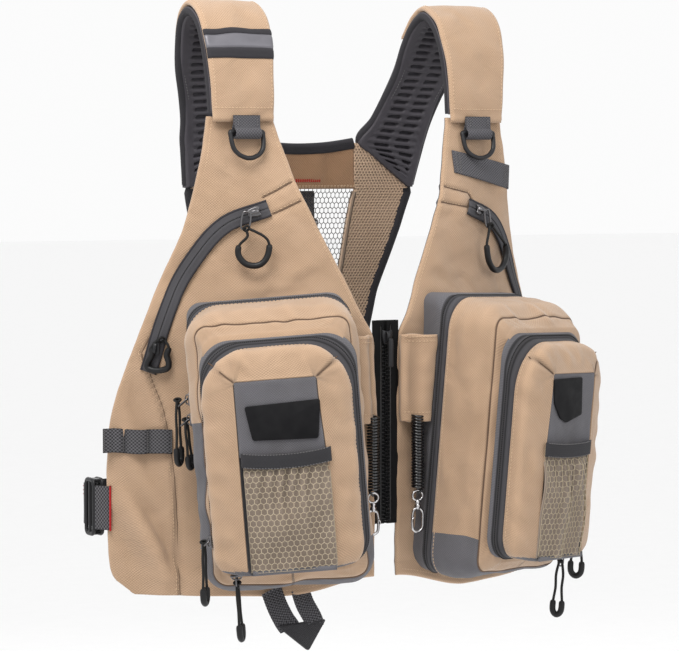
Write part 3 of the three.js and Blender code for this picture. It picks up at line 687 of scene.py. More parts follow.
def add_front_panel(side):
    """The cloth of a front, with its stitched edges and its sewn seams."""
    outside = panel_outside(side)
    grid = table_grid(FRONT_EDGES, outside, 2.2, 170)
    x, z = grid[..., 0], grid[..., 2]
    seams = [PRINCESS] + CHEST_SEAMS[side]
    # Painted shade: the cloth is darkened along the seams, standing in for the shade in their grooves.
    tucked = sum(np.exp(-((distance_to(x, z, seam) / 1.5) ** 2)) for seam in seams)
    part = Part()
    slab(
        part, grid + [0, PANEL / 2, 0], AHEAD, PANEL / 2, PANEL / 2, 0.55 * np.minimum(tucked, 1),
        slots=(0, 2), cloth=np.stack([x, z], -1),
    )
    z_run = np.arange(-90, -515, -3.0)
    inner = eased(FRONT_EDGES, z_run, 1) + 4.2
    sew(part, outside, np.stack([inner, z_run], 1)[:62], 1)
    outer = eased(FRONT_EDGES, z_run, 2) - 4.5
    sew(part, outside, np.stack([outer, z_run], 1), 1)
    sew(part, outside, HEM_STITCHES, 1)
    for seam in seams:
        sew(part, outside, np.array(seam) + (3.2, 0.6), 1)
        # Painted shade: a dark cord in the seam's groove.
        seam_line(part, outside, seam, 3)
    sew(part, outside, curve(CHEST_PATH, 4) - (9.6, 4.5), 1)
    made = piece(
        f"panel_{side}", part.sided(side), f"front_{side}", [canvas, thread, lining, seam_shade_cord],
        [f"front_panel_{side}"],
    )


# ---- Centre zip ----
ZIP_TOP, ZIP_FOOT, TOOTH_PITCH = -271.0, -456.0, 3.4
ZIP_FRONT, CORD_FRONT, GUARD_FRONT = -88.2, -88.6, -85.6


def add_zip_half(side):
    """Half of the centre zip. The left half also has the flap behind the teeth."""
    part = Part()
    z = ZIP_TOP + (ZIP_FOOT - ZIP_TOP) * shares(ZIP_TOP - ZIP_FOOT, 6)
    x = np.array([1.4, 1.8, 2.6, 4.5, 7, 10, 13.2, 13.6])
    grid = xyz(x[None], ZIP_FRONT + 0.25 * ripple(x[None], z[:, None], 30, 2), z[:, None])
    slab(part, grid, AHEAD, 0.8, 0.8, soft=0.8)
    shift = 0 if side == "left" else TOOTH_PITCH / 2
    for height in np.arange(ZIP_TOP - 22 - shift, ZIP_FOOT + 3, -TOOTH_PITCH):
        tooth = curve(
            [
                (-1.3, CORD_FRONT, height), (0.4, CORD_FRONT - 0.6, height),
                (2.2, CORD_FRONT - 0.6, height), (4.4, CORD_FRONT, height),
            ],
            1.0
        )
        sweep(part, tooth, bar(1.5, 1.9, 2), 1, up=AHEAD, size=[0.8, *[1] * (len(tooth) - 2), 0.75])
    cord = spaced([(4.9, CORD_FRONT, ZIP_TOP - 4), (4.9, CORD_FRONT, ZIP_FOOT + 2)], 5)
    sweep(part, cord, disc(0.9, 6), 1)
    if side == "left":
        x = np.array([-8, -7.5, -6.5, -3, 2, 7, 11, 12.5, 13])
        guard = xyz(x[None], GUARD_FRONT + 0.2 * ripple(x[None], z[:, None], 30, 4), z[:, None])
        slab(part, guard, AHEAD, 0.55, 0.55, soft=0.8)
    piece(
        f"zip_{side}", part.sided(side), f"front_{side}", [black_tape, zip_tooth], [f"zip_half_{side}"],
    )


# ---- Chest zip ----
CHEST_PATH = [(104, -169), (140, -184), (164, -215), (184.5, -260), (199, -317)]
CHEST_RISE = 4.2


def chest_frames():
    """Points and normals along the middle of the chest zip, and the direction across it."""
    line = curve(CHEST_PATH, 2.0)
    x, z = line[:, 0], line[:, 1]
    points = xyz(x, front_y(x, z) - CHEST_RISE, z)
    slope = front_y(x + 0.5, z) - front_y(x - 0.5, z)
    rise = front_y(x, z + 0.5) - front_y(x, z - 0.5)
    normal = unit(np.stack([slope, -np.ones_like(x), rise], 1))
    return points, normal, unit(np.cross(headings(points), normal))


def add_chest_zip(side):
    """The tape of the chest zip, domed over its coil, with a bound edge on each side."""
    points, normal, across = chest_frames()
    offsets = np.array([-7, -6.6, -6, -4.5, -2.4, -0.9, -0.3, 0.3, 0.9, 2.4, 4.5, 6, 6.6, 7])
    dome = 0.7 * np.exp(-((offsets / 2.2) ** 2)) - 1.0 * np.exp(-((offsets / 0.45) ** 2))
    grid = points[:, None] + across[:, None] * offsets[None, :, None] + normal[:, None] * dome[None, :, None]
    part = Part()
    shade = np.exp(-((offsets / 0.6) ** 2))[None, :] * np.ones(len(points))[:, None]
    slab(part, grid - normal[:, None] * 0.8, AHEAD, 0.8, 1.4, shade * 0.9, soft=0.8)
    for offset in (-6.9, 6.9):
        sweep(part, points + across * offset - normal * 0.7, disc(1.15, 6), 1)
    piece(
        f"chest_zip_tape_{side}", part.sided(side), f"front_{side}", [tape, binding],
        [f"chest_zip_{side}"],
    )


def plate(part, outline, low, high, bevel=0.5):
    """A flat plate with rounded edges, standing from `low` to `high` over an outline."""
    outline = np.asarray(outline, float)
    middle = outline.mean(0)
    reach = np.linalg.norm(outline - middle, axis=1).mean()
    rows = [
        (low, bevel), (low + 0.3 * bevel, 0.3 * bevel), (low + bevel, 0), (high - bevel, 0),
        (high - 0.3 * bevel, 0.3 * bevel), (high, bevel)
    ]
    points = [
        np.c_[middle + (outline - middle) * (1 - inset / reach), np.full(len(outline), z)]
        for z, inset in rows
    ]
    grid = np.array(points)
    count = len(outline)
    caps = (np.arange(count)[None, ::-1], (len(rows) - 1) * count + np.arange(count)[None, :])
    part.add(grid, [quads(len(rows), count, True), *caps], grid.reshape(-1, 3))


def rounded(corners, radius=1.0, steps=4):
    """A closed outline with its corners rounded off."""
    c = np.asarray(corners, float)
    before, after = np.roll(c, 1, 0), np.roll(c, -1, 0)
    made = []
    for a, b, d in zip(before, c, after):
        start = b + unit(a - b) * min(radius, np.linalg.norm(a - b) * 0.45)
        end = b + unit(d - b) * min(radius, np.linalg.norm(d - b) * 0.45)
        for t in np.linspace(0, 1, steps):
            made.append((1 - t) ** 2 * start + 2 * t * (1 - t) * b + t * t * end)
    return np.array(made)


SMALL_SLIDER = (9, 12)


def zip_slider(part, width, length, height):
    """A slider lying in the XY plane, nose towards +Y and front towards +Z, with its bridge."""
    w, l = width / 2, length / 2
    plan = rounded(
        [
            (-w * 0.66, -l), (w * 0.66, -l), (w, l * 0.3), (w * 0.9, l), (w * 0.3, l * 0.8),
            (-w * 0.3, l * 0.8), (-w * 0.9, l), (-w, l * 0.3)
        ],
        1.4
    )
    plate(part, plan, 0, height * 0.75, 0.6)
    arch = curve(
        [
            (0, -l * 0.72, height * 0.6), (0, -l * 0.6, height * 1.45), (0, 0, height * 1.8),
            (0, l * 0.6, height * 1.45), (0, l * 0.72, height * 0.6)
        ],
        0.6
    )
    sweep(part, arch, bar(width * 0.36, 1.1, 2), up=np.cross(headings(arch), [-1.0, 0, 0]))


def wire_loop(part, length, width, radius):
    """A wire puller hanging from the origin towards -Y in the XY plane."""
    w = width / 2
    loop = curve(
        [
            (0, 1.2, 0), (w * 0.8, 0.2, 0), (w, -length * 0.45, 0), (w * 0.8, -length * 0.9, 0),
            (0, -length, 0), (-w * 0.8, -length * 0.9, 0), (-w, -length * 0.45, 0), (-w * 0.8, 0.2, 0)
        ],
        0.8, True
    )
    sweep(part, loop, disc(radius, 7), closed=True)


def frame_matrix(origin, across, along, out):
    """A matrix with the given X, Y and Z axes."""
    m = np.eye(4)
    m[:3, 0], m[:3, 1], m[:3, 2], m[:3, 3] = across, along, out, origin
    return m


def on_chest(spot, heading, lift):
    """A frame on the front panel with +Y along a heading and +Z out of the cloth."""
    x, z = spot
    slope = float(front_y(x + 0.5, z) - front_y(x - 0.5, z))
    rise = float(front_y(x, z + 0.5) - front_y(x, z - 0.5))
    out = unit(np.array([slope, -1.0, rise]))
    along = np.array([heading[0], 0, heading[1]], float)
    along = unit(along - out * np.dot(along, out))
    origin = np.array([x, float(front_y(x, z)), z]) + out * lift
    return frame_matrix(origin, np.cross(along, out), along, out)


CORD_RADIUS, RUBBER_RADIUS, KNOT_RADIUS = 1.25, 2.85, 1.15
KNOT = ((-2.6, 0.8, -1.1), (0.2, 1.2, -2.6), (2.8, 0.3, -0.5), (0.3, -1.0, 1.9), (-2.4, -0.4, 0.9))
CHEST_PULL = [
    (127, -187), (124.5, -196), (122, -205), (124, -218), (130, -226.5), (138, -229),
    (147, -226), (153, -217), (152, -206), (141, -196), (130, -187),
]


def add_loop(name, points, body, matrix, node, first=3):
    """A cord loop with a knot, and the rubber sleeve on its lowest part."""
    points = np.asarray(points, float)
    line = curve(points, 1.2)
    ends = [
        int(np.argmin(np.linalg.norm(line - points[i], axis=1)))
        for i in (first, len(points) - 1 - first)
    ]
    cord = Part()
    sweep(cord, line, disc(CORD_RADIUS, 10))
    cord.moved(matrix)
    sleeve = Part()
    held = line[ends[0]:ends[1] + 1]
    run = np.minimum(np.arange(len(held)), np.arange(len(held))[::-1])
    sweep(sleeve, held, disc(RUBBER_RADIUS, 14), size=0.74 + 0.26 * np.sqrt(np.clip(run / 1.8, 0, 1)))
    middle = (line[0] + line[-1]) / 2
    knot = curve([middle + turn for turn in KNOT], 0.8, True)
    sweep(sleeve, knot, disc(KNOT_RADIUS, 8), 1, closed=True)
    sleeve.moved(matrix)
    rubber_piece = piece(f"{name}_sleeve", sleeve, body, [rubber, cord_black])
    made = piece(name, cord, body, [cord_black], [node])
    matrix = np.asarray(matrix, float)
    route = (line @ matrix[:3, :3].T + matrix[:3, 3]) * MM
    tuple(route[0])


def add_chest_sliders(side):
    """The two sliders of the chest zip. The upper cord is shorter and nearer the centre on the right."""
    mirror = np.diag([SIDES[side], 1.0, 1.0, 1.0])
    upper = Part()
    zip_slider(upper, *SMALL_SLIDER, 2.6)
    upper.moved(on_chest((115, -173), (-1, 0.2), 5.2))
    pull = Part()
    wire_loop(pull, 15, 8.0, 0.95)
    pull.moved(on_chest((121, -174), (-0.15, 1), 8.5))
    upper.join(pull)
    upper.moved(mirror)
    piece(
        f"chest_slider_{side}", upper, f"chest_slider_{side}", [gunmetal],
        [f"chest_slider_upper_{side}"],
    )
    drift = -18 if side == "right" else 0
    scale = 0.8 if side == "right" else 1.0
    top_x, top_z = CHEST_PULL[0]
    ring = [(x + drift * float(smooth(-z, 184, 200)), z) for x, z in CHEST_PULL]
    ring = [(top_x + (x - top_x) * scale - 4 * (1 - scale), top_z + (z - top_z) * scale) for x, z in ring]
    points = [(x, float(front_y(x, z)) - 12, z) for x, z in ring]
    add_loop(f"chest_cord_{side}", points, f"chest_pull_{side}", mirror, f"chest_pull_{side}", 2)

    lower = Part()
    zip_slider(lower, *SMALL_SLIDER, 2.6)
    lower.moved(mirror @ on_chest((191, -295), (0.2, -1), 5.2))
    piece(f"chest_slider_low_{side}", lower, f"chest_slider_lower_{side}", [acetal])
    hung = hanging_loop((191, 0, -287), 28, 7.5, (3, 0, 0), (1, 0, 0), (0, 0, -1))
    points = [(x, float(front_y(x, z)) - 9, z) for x, _, z in hung]
    add_loop(
        f"chest_low_cord_{side}", points, f"chest_slider_lower_{side}", mirror,
        f"chest_slider_lower_{side}", 1
    )


HANGING_LEG = [(0, 0.3), (0.25, 0.8), (0.5, 0.7), (0.75, 1), (0.93, 0.9)]


def hanging_loop(start, length, half_width, sway, across, down):
    """Points down one leg of a hanging cord loop and up the other."""
    start, sway, across, down = (np.asarray(v, float) for v in (start, sway, across, down))
    leg = [(-1, f, s) for f, s in HANGING_LEG]
    steps = leg + [(0, 1, 0)] + [(1, f, s) for f, s in HANGING_LEG[::-1]]
    return [start + across * side * half_width * s + sway * f + down * length * f for side, f, s in steps]


# ---- Tethers ----
SLEEVE_EDGES = {
    "left": [(-284, 12, 43), (-324, 12, 40), (-363, 12, 37)],
    "right": [(-284, 17, 42), (-324, 14.5, 40), (-363, 12, 38)],
}
TETHER_X, TETHER_Y = {"left": 25.0, "right": 21.0}, -104.0
COIL_TOP, COIL_FOOT, COIL_RADIUS, COIL_WIRE, COIL_TURNS = -356.0, -423.0, 5.0, 1.15, 25


def add_tether_sleeve(side):
    """The folded cloth sleeve that the coiled tether comes out of."""
    edges = SLEEVE_EDGES[side]
    across = np.linspace(0, 1, 22)
    height = edges[0][0] - edges[-1][0]
    z = edges[0][0] - height * shares(height, 2.5)
    inner, outer = (column(edges, z, i)[:, None] for i in (1, 2))
    x = inner + (outer - inner) * across[None, :]
    down = np.sin(math.pi * np.linspace(0, 1, len(z)))[:, None]
    bulge = 0.5 * (x - inner) + 6.4 * np.sin(math.pi * across)[None, :] ** 0.8
    bulge = bulge - 5.0 * np.exp(-(((across - 0.3) / 0.15) ** 2))[None, :] * down**0.5
    bulge = bulge + 0.5 * ripple(x, z[:, None], 22, 5)
    # Painted shade: the sleeve is darkened in the valley of its fold.
    valley_shade = np.exp(-(((across - 0.3) / 0.1) ** 2))[None, :] * down
    part = Part()
    grid = xyz(x, -94.8 - bulge, z[:, None]) + [0, 1.4, 0]
    top = slab(part, grid, AHEAD, 1.4, 1.4, 0.35 * valley_shade, soft=1.2)
    for row in (3, 5, -7):
        stitches(part, top[row, 2:-2] + [0, -0.2, 0], AHEAD, 1)
    made = piece(
        f"tether_tab_{side}", part.sided(side), f"front_{side}", [canvas, thread],
        [f"tether_sleeve_{side}"]
    )


def add_tether_cord(side):
    """The coiled tether and the metal clip at its end."""
    front, clip_body = f"front_{side}", f"tether_{side}"
    cx = TETHER_X[side]
    turn = np.linspace(0, COIL_TURNS * 2 * math.pi, COIL_TURNS * 18)
    fall = turn / turn[-1]
    line = xyz(
        cx + COIL_RADIUS * np.cos(turn), TETHER_Y + COIL_RADIUS * np.sin(turn),
        COIL_TOP + (COIL_FOOT - COIL_TOP) * fall
    )
    tail = curve([line[-1], (cx + 2.5, TETHER_Y - 1.5, -426.3), (cx, TETHER_Y, -428.3)], 1.0)
    line = np.vstack([line, tail[1:]])
    line[:, 0] *= SIDES[side]
    coil = Part()
    sweep(coil, line, disc(COIL_WIRE, 8))
    coiled = piece(f"tether_cord_{side}", coil, None, [coil_plastic], [f"tether_coil_{side}"])
    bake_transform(coiled)

    clip = Part()
    eye = [
        (cx + 5.2 * math.cos(a), TETHER_Y, -430.2 + 5.2 * math.sin(a) * 0.86)
        for a in np.arange(14) * math.tau / 14
    ]
    sweep(clip, curve(eye, 0.9, True), disc(1.1, 8), closed=True)
    neck = [(cx, TETHER_Y, -434.2 - h) for h in np.linspace(0, 8.6, 12)]
    sweep(clip, neck, disc(2.7, 14), size=[0.5, 0.8, 1, 1, 0.72, 0.72, 1.02, 1.08, 1.08, 1, 0.85, 0.6])
    foot = -442.2
    hook = [
        (0, 0.5), (3.4, -0.6), (5.4, -4), (5.5, -11), (5.1, -17), (2.6, -20.4),
        (-1.4, -21), (-4.6, -18.6), (-5.4, -13.5), (-5.2, -6), (-3.6, -1),
    ]
    sweep(
        clip, curve([(cx + u, TETHER_Y, foot + v) for u, v in hook], 0.8, True), bar(2.6, 1.9, 2),
        closed=True, up=AHEAD
    )
    lever = curve(
        [
            (cx - 4.6, TETHER_Y - 1.2, foot - 8), (cx - 6.4, TETHER_Y - 1.4, foot - 9.6),
            (cx - 6.6, TETHER_Y - 1.4, foot - 12)
        ],
        0.7
    )
    sweep(clip, lever, disc(0.9, 8))
    clip_piece = piece(
        f"tether_hook_{side}", clip.sided(side), clip_body, [steel], [f"tether_clip_{side}"]
    )


# ---- Pockets ----
POCKET_ROLL, POCKET_PITCH = {"left": 2.0, "right": 4.5}, {"left": 4.0, "right": 2.0}
POCKET_TURN, POCKET_AT = math.radians(27), (101, -66, -378)
RING_STEPS = {"bottom": 22, "corner": 14, "side": 62, "top": 46}


def pocket_matrix(side):
    """The frame of a pocket: across, up and out of the vest."""
    c, s = math.cos(POCKET_TURN), math.sin(POCKET_TURN)
    placed = Matrix(
        ((c, 0, s, POCKET_AT[0]), (s, 0, -c, POCKET_AT[1]), (0, 1, 0, POCKET_AT[2]), (0, 0, 0, 1))
    )
    roll = Matrix.Rotation(math.radians(-POCKET_ROLL[side]), 4, "Z")
    pitch = Matrix.Rotation(math.radians(POCKET_PITCH[side]), 4, "X")
    return np.diag([SIDES[side], 1.0, 1.0, 1.0]) @ np.array(placed @ (roll @ pitch))


def rounded_ring(left, right, bottom, top, high, low):
    """Points round a rounded rectangle, starting halfway along its bottom."""
    def line(a, b, count):
        t = np.arange(count)[:, None] / count
        return np.array(a, float) * (1 - t) + np.array(b, float) * t

    def arc(u, w, radius, quarter):
        a = (quarter + np.arange(RING_STEPS["corner"]) / RING_STEPS["corner"]) * math.pi / 2
        return np.stack([u + radius * np.cos(a), w + radius * np.sin(a)], 1)

    middle, n = (left + right) / 2, RING_STEPS
    return np.vstack([
        line((middle, bottom), (right - low, bottom), n["bottom"]), arc(right - low, bottom + low, low, -1),
        line((right, bottom + low), (right, top - high), n["side"]), arc(right - high, top - high, high, 0),
        line((right - high, top), (left + high, top), n["top"]), arc(left + high, top - high, high, 1),
        line((left, top - high), (left, bottom + low), n["side"]), arc(left + low, bottom + low, low, 2),
        line((left + low, bottom), (middle, bottom), n["bottom"]),
    ])


def ring_rows(rings, depths, soft=0.0):
    """Rounded rectangles at many depths, between the given ones: points as (across, up, depth)."""
    key = np.array([r[0] for r in rings], float)
    shapes = np.array([rounded_ring(*r[1:]) for r in rings])
    rows = 0
    shifts = (-1, 0, 1) if soft else (0,)
    for shift in shifts:
        at = np.clip(depths + shift * soft, key[0], key[-1])
        i = np.clip(np.searchsorted(key, at) - 1, 0, len(key) - 2)
        t = ((at - key[i]) / (key[i + 1] - key[i]))[:, None, None]
        rows = rows + (shapes[i] * (1 - t) + shapes[i + 1] * t) / len(shifts)
    return np.concatenate([rows, np.broadcast_to(depths[:, None, None], rows.shape[:2] + (1,))], -1)


def close_loft(part, points, shade=0.0, slots=0):
    """A closed piece through rings of points, with flat ends."""
    rows, columns = points.shape[:2]
    steps = np.linalg.norm(np.roll(points[rows // 3], -1, 0) - points[rows // 3], axis=1)
    across = (np.cumsum(steps) - steps)[None, :]
    along = np.cumsum(np.linalg.norm(np.diff(points, axis=0, prepend=points[:1]), axis=2), 0)
    cloth = np.stack(np.broadcast_arrays(across, along, np.asarray(shade, float)), -1)
    face = quads(rows, columns, True)
    start = part.count
    part.add(points, [], cloth)
    part.faces += (face + start).tolist()
    part.slots += np.broadcast_to(slots, (rows - 1, columns)).ravel().astype(int).tolist()
    part.faces += [
        (start + np.arange(columns)[::-1]).tolist(),
        (start + (rows - 1) * columns + np.arange(columns)).tolist()
    ]
    part.slots += [part.slots[-1], part.slots[-1]]


SHELL_RINGS = [
    (18.5, -79, 70, -127, 127, 30, 24), (34, -79, 70, -126, 126, 30, 24), (54, -78, 69.5, -123, 122, 24, 22),
    (67, -74.5, 62.5, -118.5, 113.5, 11, 14), (78, -68, 56, -108, 104, 14, 16),
]
GUSSET_RINGS = [
    (-26, -64, 70, -127, 129, 12, 24), (0, -73, 71, -127, 130, 14, 24), (18, -80, 70.5, -127, 128, 29, 24)
]
FRONT_GUSSET_RINGS = [
    (77.5, -79, 61, -104, 101.5, 26, 24), (84, -76.5, 60.5, -104, 98.5, 40, 24),
    (90, -71, 59, -103, 93.5, 46, 24),
]
FRONT_SHELL_RINGS = [
    (89.5, -71, 59, -103, 93.5, 46, 24), (100, -68, 57, -103, 89.5, 38, 18), (112, -45, 31, -103, 67, 3, 6),
]
SHELL_START, SEAM_DEPTH = 18.5, 67.0
FRONT_START, FRONT_DEPTH = 89.5, 22.5


SHELL_FOLDS = {
    "right": [
        (-30, 112, -16, 126, 5, 1.6), (30, 108, 44, 122, 5, 1.8), (-78, 40, -64, 12, 7, 1.8),
        (66, 60, 56, 30, 6, 1.8), (-70, -40, -60, -76, 7, 2.0), (64, -30, 58, -70, 7, 1.8),
        (-20, -108, 10, -120, 5, 1.6),
    ],
    "left": [
        (10, 106, -2, 124, 5, 2.0), (-40, 108, -50, 122, 5, 1.6), (-66, 70, -74, 20, 8, 2.2),
        (-64, 10, -72, -40, 8, 2.4), (-74, -50, -66, -96, 7, 2.0), (62, 66, 52, 40, 6, 1.6),
        (60, -20, 56, -64, 7, 1.6),
    ],
}


def add_shell(side, place):
    """The main bag of a pocket. Behind its seam, the cloth is grey beneath and on the outer side."""
    depths = np.r_[
        18.5, 18.9, 20, 22, np.arange(24.5, 63, 2.2), 64.2, 65.4, 66.2, 67, 67.8, 68.6,
        np.arange(70, 78, 1.6), 78
    ]
    points = ring_rows(SHELL_RINGS, depths, 0.5)
    normal = grid_normals(points, True)
    u, w, d = points[..., 0], points[..., 1], points[..., 2]
    seed = 11 if side == "left" else 17
    soft = smooth(d, 19, 30) * (1 - smooth(d, 70, 78))
    seam = np.exp(-(((d - SEAM_DEPTH) / 1.1) ** 2))
    belly = 1.8 * np.sin(math.pi * np.clip((d - SHELL_START) / (SEAM_DEPTH - SHELL_START), 0, 1)) ** 0.8
    folds = 1.0 * ripple(w + 0.6 * u, d * 1.4 + 0.4 * u, 44, seed) + 0.25 * ripple(w - u, d, 18, seed + 1)
    folds = folds + creases(u, w, SHELL_FOLDS[side])
    rise = belly + folds * soft - 1.3 * seam
    rim = np.sqrt(1 - (1 - np.clip((d - SHELL_START) / 2.5, 0, 1)) ** 2) - 1
    points = points + normal * (rise + 2.5 * rim)[..., None]
    tucked = points[-1] * [0.82, 0.82, 1] + [0, 0, 0.2]
    points = np.concatenate([points[:1] * [0.9, 0.9, 1], points, tucked[None]])
    shade = np.zeros(points.shape[:2])
    # Painted shade on the first ring, where the bag tucks in against the gusset.
    shade[0] = 0.5
    turn = RING_STEPS["bottom"] + RING_STEPS["corner"]
    column_at = np.arange(points.shape[1])
    beneath = (column_at < turn) | (column_at >= points.shape[1] - turn)
    outer = (column_at < turn + RING_STEPS["side"]) & (w[0] < 25)
    outer = outer | ((column_at >= points.shape[1] - turn - RING_STEPS["side"]) & (w[0] < -84))
    behind = np.r_[True, depths[:-1] < SEAM_DEPTH - 0.5, False]
    slots = np.where((beneath | outer)[None, :] & behind[:, None], 1, 0)
    part = Part()
    close_loft(part, points, shade, slots)
    ring = points[1 + int(np.argmin(abs(depths - SEAM_DEPTH)))]
    seam_path = spaced(ring, 2.5, True)
    outward = unit(seam_path * [1, 1, 0])
    # Painted shadow: a dark cord along the seam stands in for the shadow under its fold.
    sweep(part, seam_path + outward * 0.3 + [0, 0, 0.3], disc(0.8, 6), 3, closed=True)
    stitch_ring(part, points[1 + int(np.argmin(abs(depths - 22)))], 2)
    made = piece(
        f"pocket_{side}", part.moved(place), f"front_{side}", [canvas, grey_canvas, thread, seam_shade_cord],
        [f"pocket_shell_{side}"],
    )


def zip_band(part, rings, depths, coil_at, inset, dark):
    """A gusset with a zip round it: two tapes, the line of its coil, and grey cloth behind."""
    points = ring_rows(rings, depths)
    normal = grid_normals(points, True)
    d = points[..., 2]
    bead = np.exp(-(((d - coil_at) / 0.9) ** 2)) - 0.9 * np.exp(-((abs(d - coil_at) - 1.9) ** 2) / 0.3)
    points = points + normal * (inset + 0.6 * bead)[..., None]
    slots = np.where(d[:-1] >= dark, 1, 0)
    # Painted shade in the grooves beside the coil.
    shade = np.exp(-((abs(d - coil_at) - 1.9) ** 2) / 0.4)
    close_loft(part, points, shade, slots)
    coil = points[int(np.argmin(abs(depths - coil_at)))]
    stitch_ring(part, coil, 2, pitch=1.7, length=1.2, radius=0.7, lift=0)


def add_gussets(side, place):
    """The zip bands behind the main bag and behind the front pocket."""
    part = Part()
    depths = np.r_[
        -26, -22, -18, -14, -10, -7, -4, -1, 1.5, 3.5, 5, 7, 8, 9, 9.6, 10.2, 10.9, 11.6, 12.2, 13, 14.5,
        16, 17.6
    ]
    zip_band(part, GUSSET_RINGS, depths, 10.9, -0.9, 5.5)
    part.moved(place)
    for points in part.points:
        points[:, 1] = np.minimum(points[:, 1], front_y(abs(points[:, 0]), points[:, 2]) + 1.5)
    made = piece(
        f"pocket_zip_{side}", part, f"front_{side}", [grey_canvas, tape, cord_black],
        [f"pocket_gusset_{side}"],
    )
    front = Part()
    depths = np.r_[77.8, 79, 80, 81, 82, 82.6, 83.4, 84.1, 84.7, 85.3, 86, 86.8, 88, 89.6]
    zip_band(front, FRONT_GUSSET_RINGS, np.clip(depths, 77.8, 89.6), 84.1, -0.8, 80.5)
    made = piece(
        f"front_zip_{side}", front.moved(place), f"front_{side}", [grey_canvas, tape, cord_black],
        [f"front_pocket_gusset_{side}"],
    )


FRAME_FOLDS = {
    "right": [
        (10, 68, 24, 85, 4, 2.6), (30, 64, 40, 76, 3, 2.2), (44, 16, 32, 6, 4, 1.6),
        (-60, -30, -50, -60, 5, 1.4), (-56, 60, -62, 20, 5, 1.2), (-30, 70, -34, 84, 5, 1.4),
        (0, 70, -6, 84, 4, -1.2),
    ],
    "left": [
        (-40, 70, -52, 84, 4, 2.4), (42, 20, 34, -10, 4, 1.6), (-58, 10, -52, -26, 5, 1.4),
        (44, -50, 34, -70, 4, 1.4), (4, 70, 10, 84, 5, 1.6), (-16, 70, -20, 84, 4, -1.2),
    ],
}


def lying(grid, line, lift):
    """A line of the first two coordinates, laid on the outer side of a grid of points."""
    spots = grid.reshape(-1, 3)
    gap = np.linalg.norm(spots[None, :, :2] - np.asarray(line)[:, None], axis=2)
    near = np.argsort(gap, axis=1)[:, :4]
    weight = 1 / (np.take_along_axis(gap, near, 1) + 0.2)
    depth = (spots[near, 2] * weight).sum(1) / weight.sum(1)
    return np.c_[line, depth + lift]


def opening_shift(w):
    """How far the near edge of the window in the front pocket stands in towards its top."""
    return 3.5 * smooth(w, -10, 60)


def add_front_shell(side, place):
    """The frame of the front pocket, with mitred upper corners round its window."""
    depths = np.r_[
        89.5, 89.8, 90.6, 92, 94, 96, 98, 100, 101.6, 103, 104.5, 106, 107.5, 109, 110.4, 111.3, 111.8, 112
    ]
    points = ring_rows(FRONT_SHELL_RINGS, depths, 0.9)
    inner_edge = smooth(-points[..., 0], 20, 44) * smooth(depths, 100, 112)[:, None]
    points[..., 0] += opening_shift(points[..., 1]) * inner_edge
    share = np.clip((depths - FRONT_START) / FRONT_DEPTH, 0, 1)[:, None]
    normal = grid_normals(points, True)
    u, w = points[..., 0], points[..., 1]
    seed = 23 if side == "left" else 29
    puff = 3.0 * np.sin(math.pi * share) ** 1.1 * (1 - smooth(-w, 96, 103))
    folds = 0.85 * ripple(u, w, 26, seed) + creases(u, w, FRAME_FOLDS[side])
    mitres = [[(31, 67), (51, 84)], [(-42, 67), (-61, 81)]]
    cut = sum(np.exp(-((distance_to(u, w, line) / 1.1) ** 2)) for line in mitres)
    points = points + normal * (puff + folds * np.sin(math.pi * share) - 1.3 * cut)[..., None]
    lip = points[-1] + (np.array([-9, -15, 0]) - points[-1]) * [0.02, 0.02, 0] + [0, 0, -1.6]
    floor = lip * [0.97, 0.97, 1] + [0, 0, -1.2]
    points = np.concatenate([points, lip[None], floor[None]])
    # Painted shade: darker in the mitre grooves, and a dark lip round the window standing in for its shadow.
    shade = np.concatenate([0.7 * cut**2, np.full((1, u.shape[1]), 0.8), np.full((1, u.shape[1]), 0.8)])
    slots = np.where(points[:-1, :, 1] < -99, 1, 0)
    slots[-1] = 1
    part = Part()
    close_loft(part, points, shade, slots)
    for line in mitres:
        # Painted shade: dark cords along the mitres stand in for the shade in their creases.
        sweep(part, lying(points[:-2], curve(line, 1.5), 0.35), disc(0.5, 6), 3)
    stitch_ring(part, points[3], 2)
    made = piece(
        f"front_pocket_{side}", part.moved(place), f"front_{side}",
        [canvas, grey_canvas, thread, seam_shade_cord], [f"front_pocket_shell_{side}"],
    )


MESH_LEFT, MESH_RIGHT, MESH_FOOT, MESH_TOP = -47.0, 28.0, -100.0, 1.0


def mesh_place(side):
    """The surface of the gathered net pocket, which runs flat under the band at its top."""
    seed = 31 if side == "left" else 37
    lean = 2.5 if side == "right" else -1.5

    def place(u, w):
        across = np.clip((u - MESH_LEFT) / (MESH_RIGHT - MESH_LEFT), 0, 1)
        up = np.clip((w - MESH_FOOT) / (MESH_TOP - MESH_FOOT), 0, 1)
        bow = np.sin(math.pi * np.clip(across * 0.96 + 0.02, 0, 1)) ** 0.45
        belly = 7.5 * bow * np.sin(math.pi * (0.12 + 0.84 * up)) ** 0.5
        under = smooth(w, -17, -8)
        wave = np.sin(u * 0.62 + 0.02 * w * lean + 2.2 * np.sin(w * 0.05))
        gather = 2.7 * wave * smooth(up, 0.15, 1) * (1 - 0.6 * under)
        slack = 1.7 * ripple(u, 0.5 * w, 24, seed) * (1 - under)
        return xyz(u, w, 112.6 + belly + gather * np.sin(math.pi * across) + slack - 1.6 * under)

    return place


def outline_area(p):
    return abs(np.sum(p[:, 0] * np.roll(p[:, 1], -1) - p[:, 1] * np.roll(p[:, 0], -1))) / 2


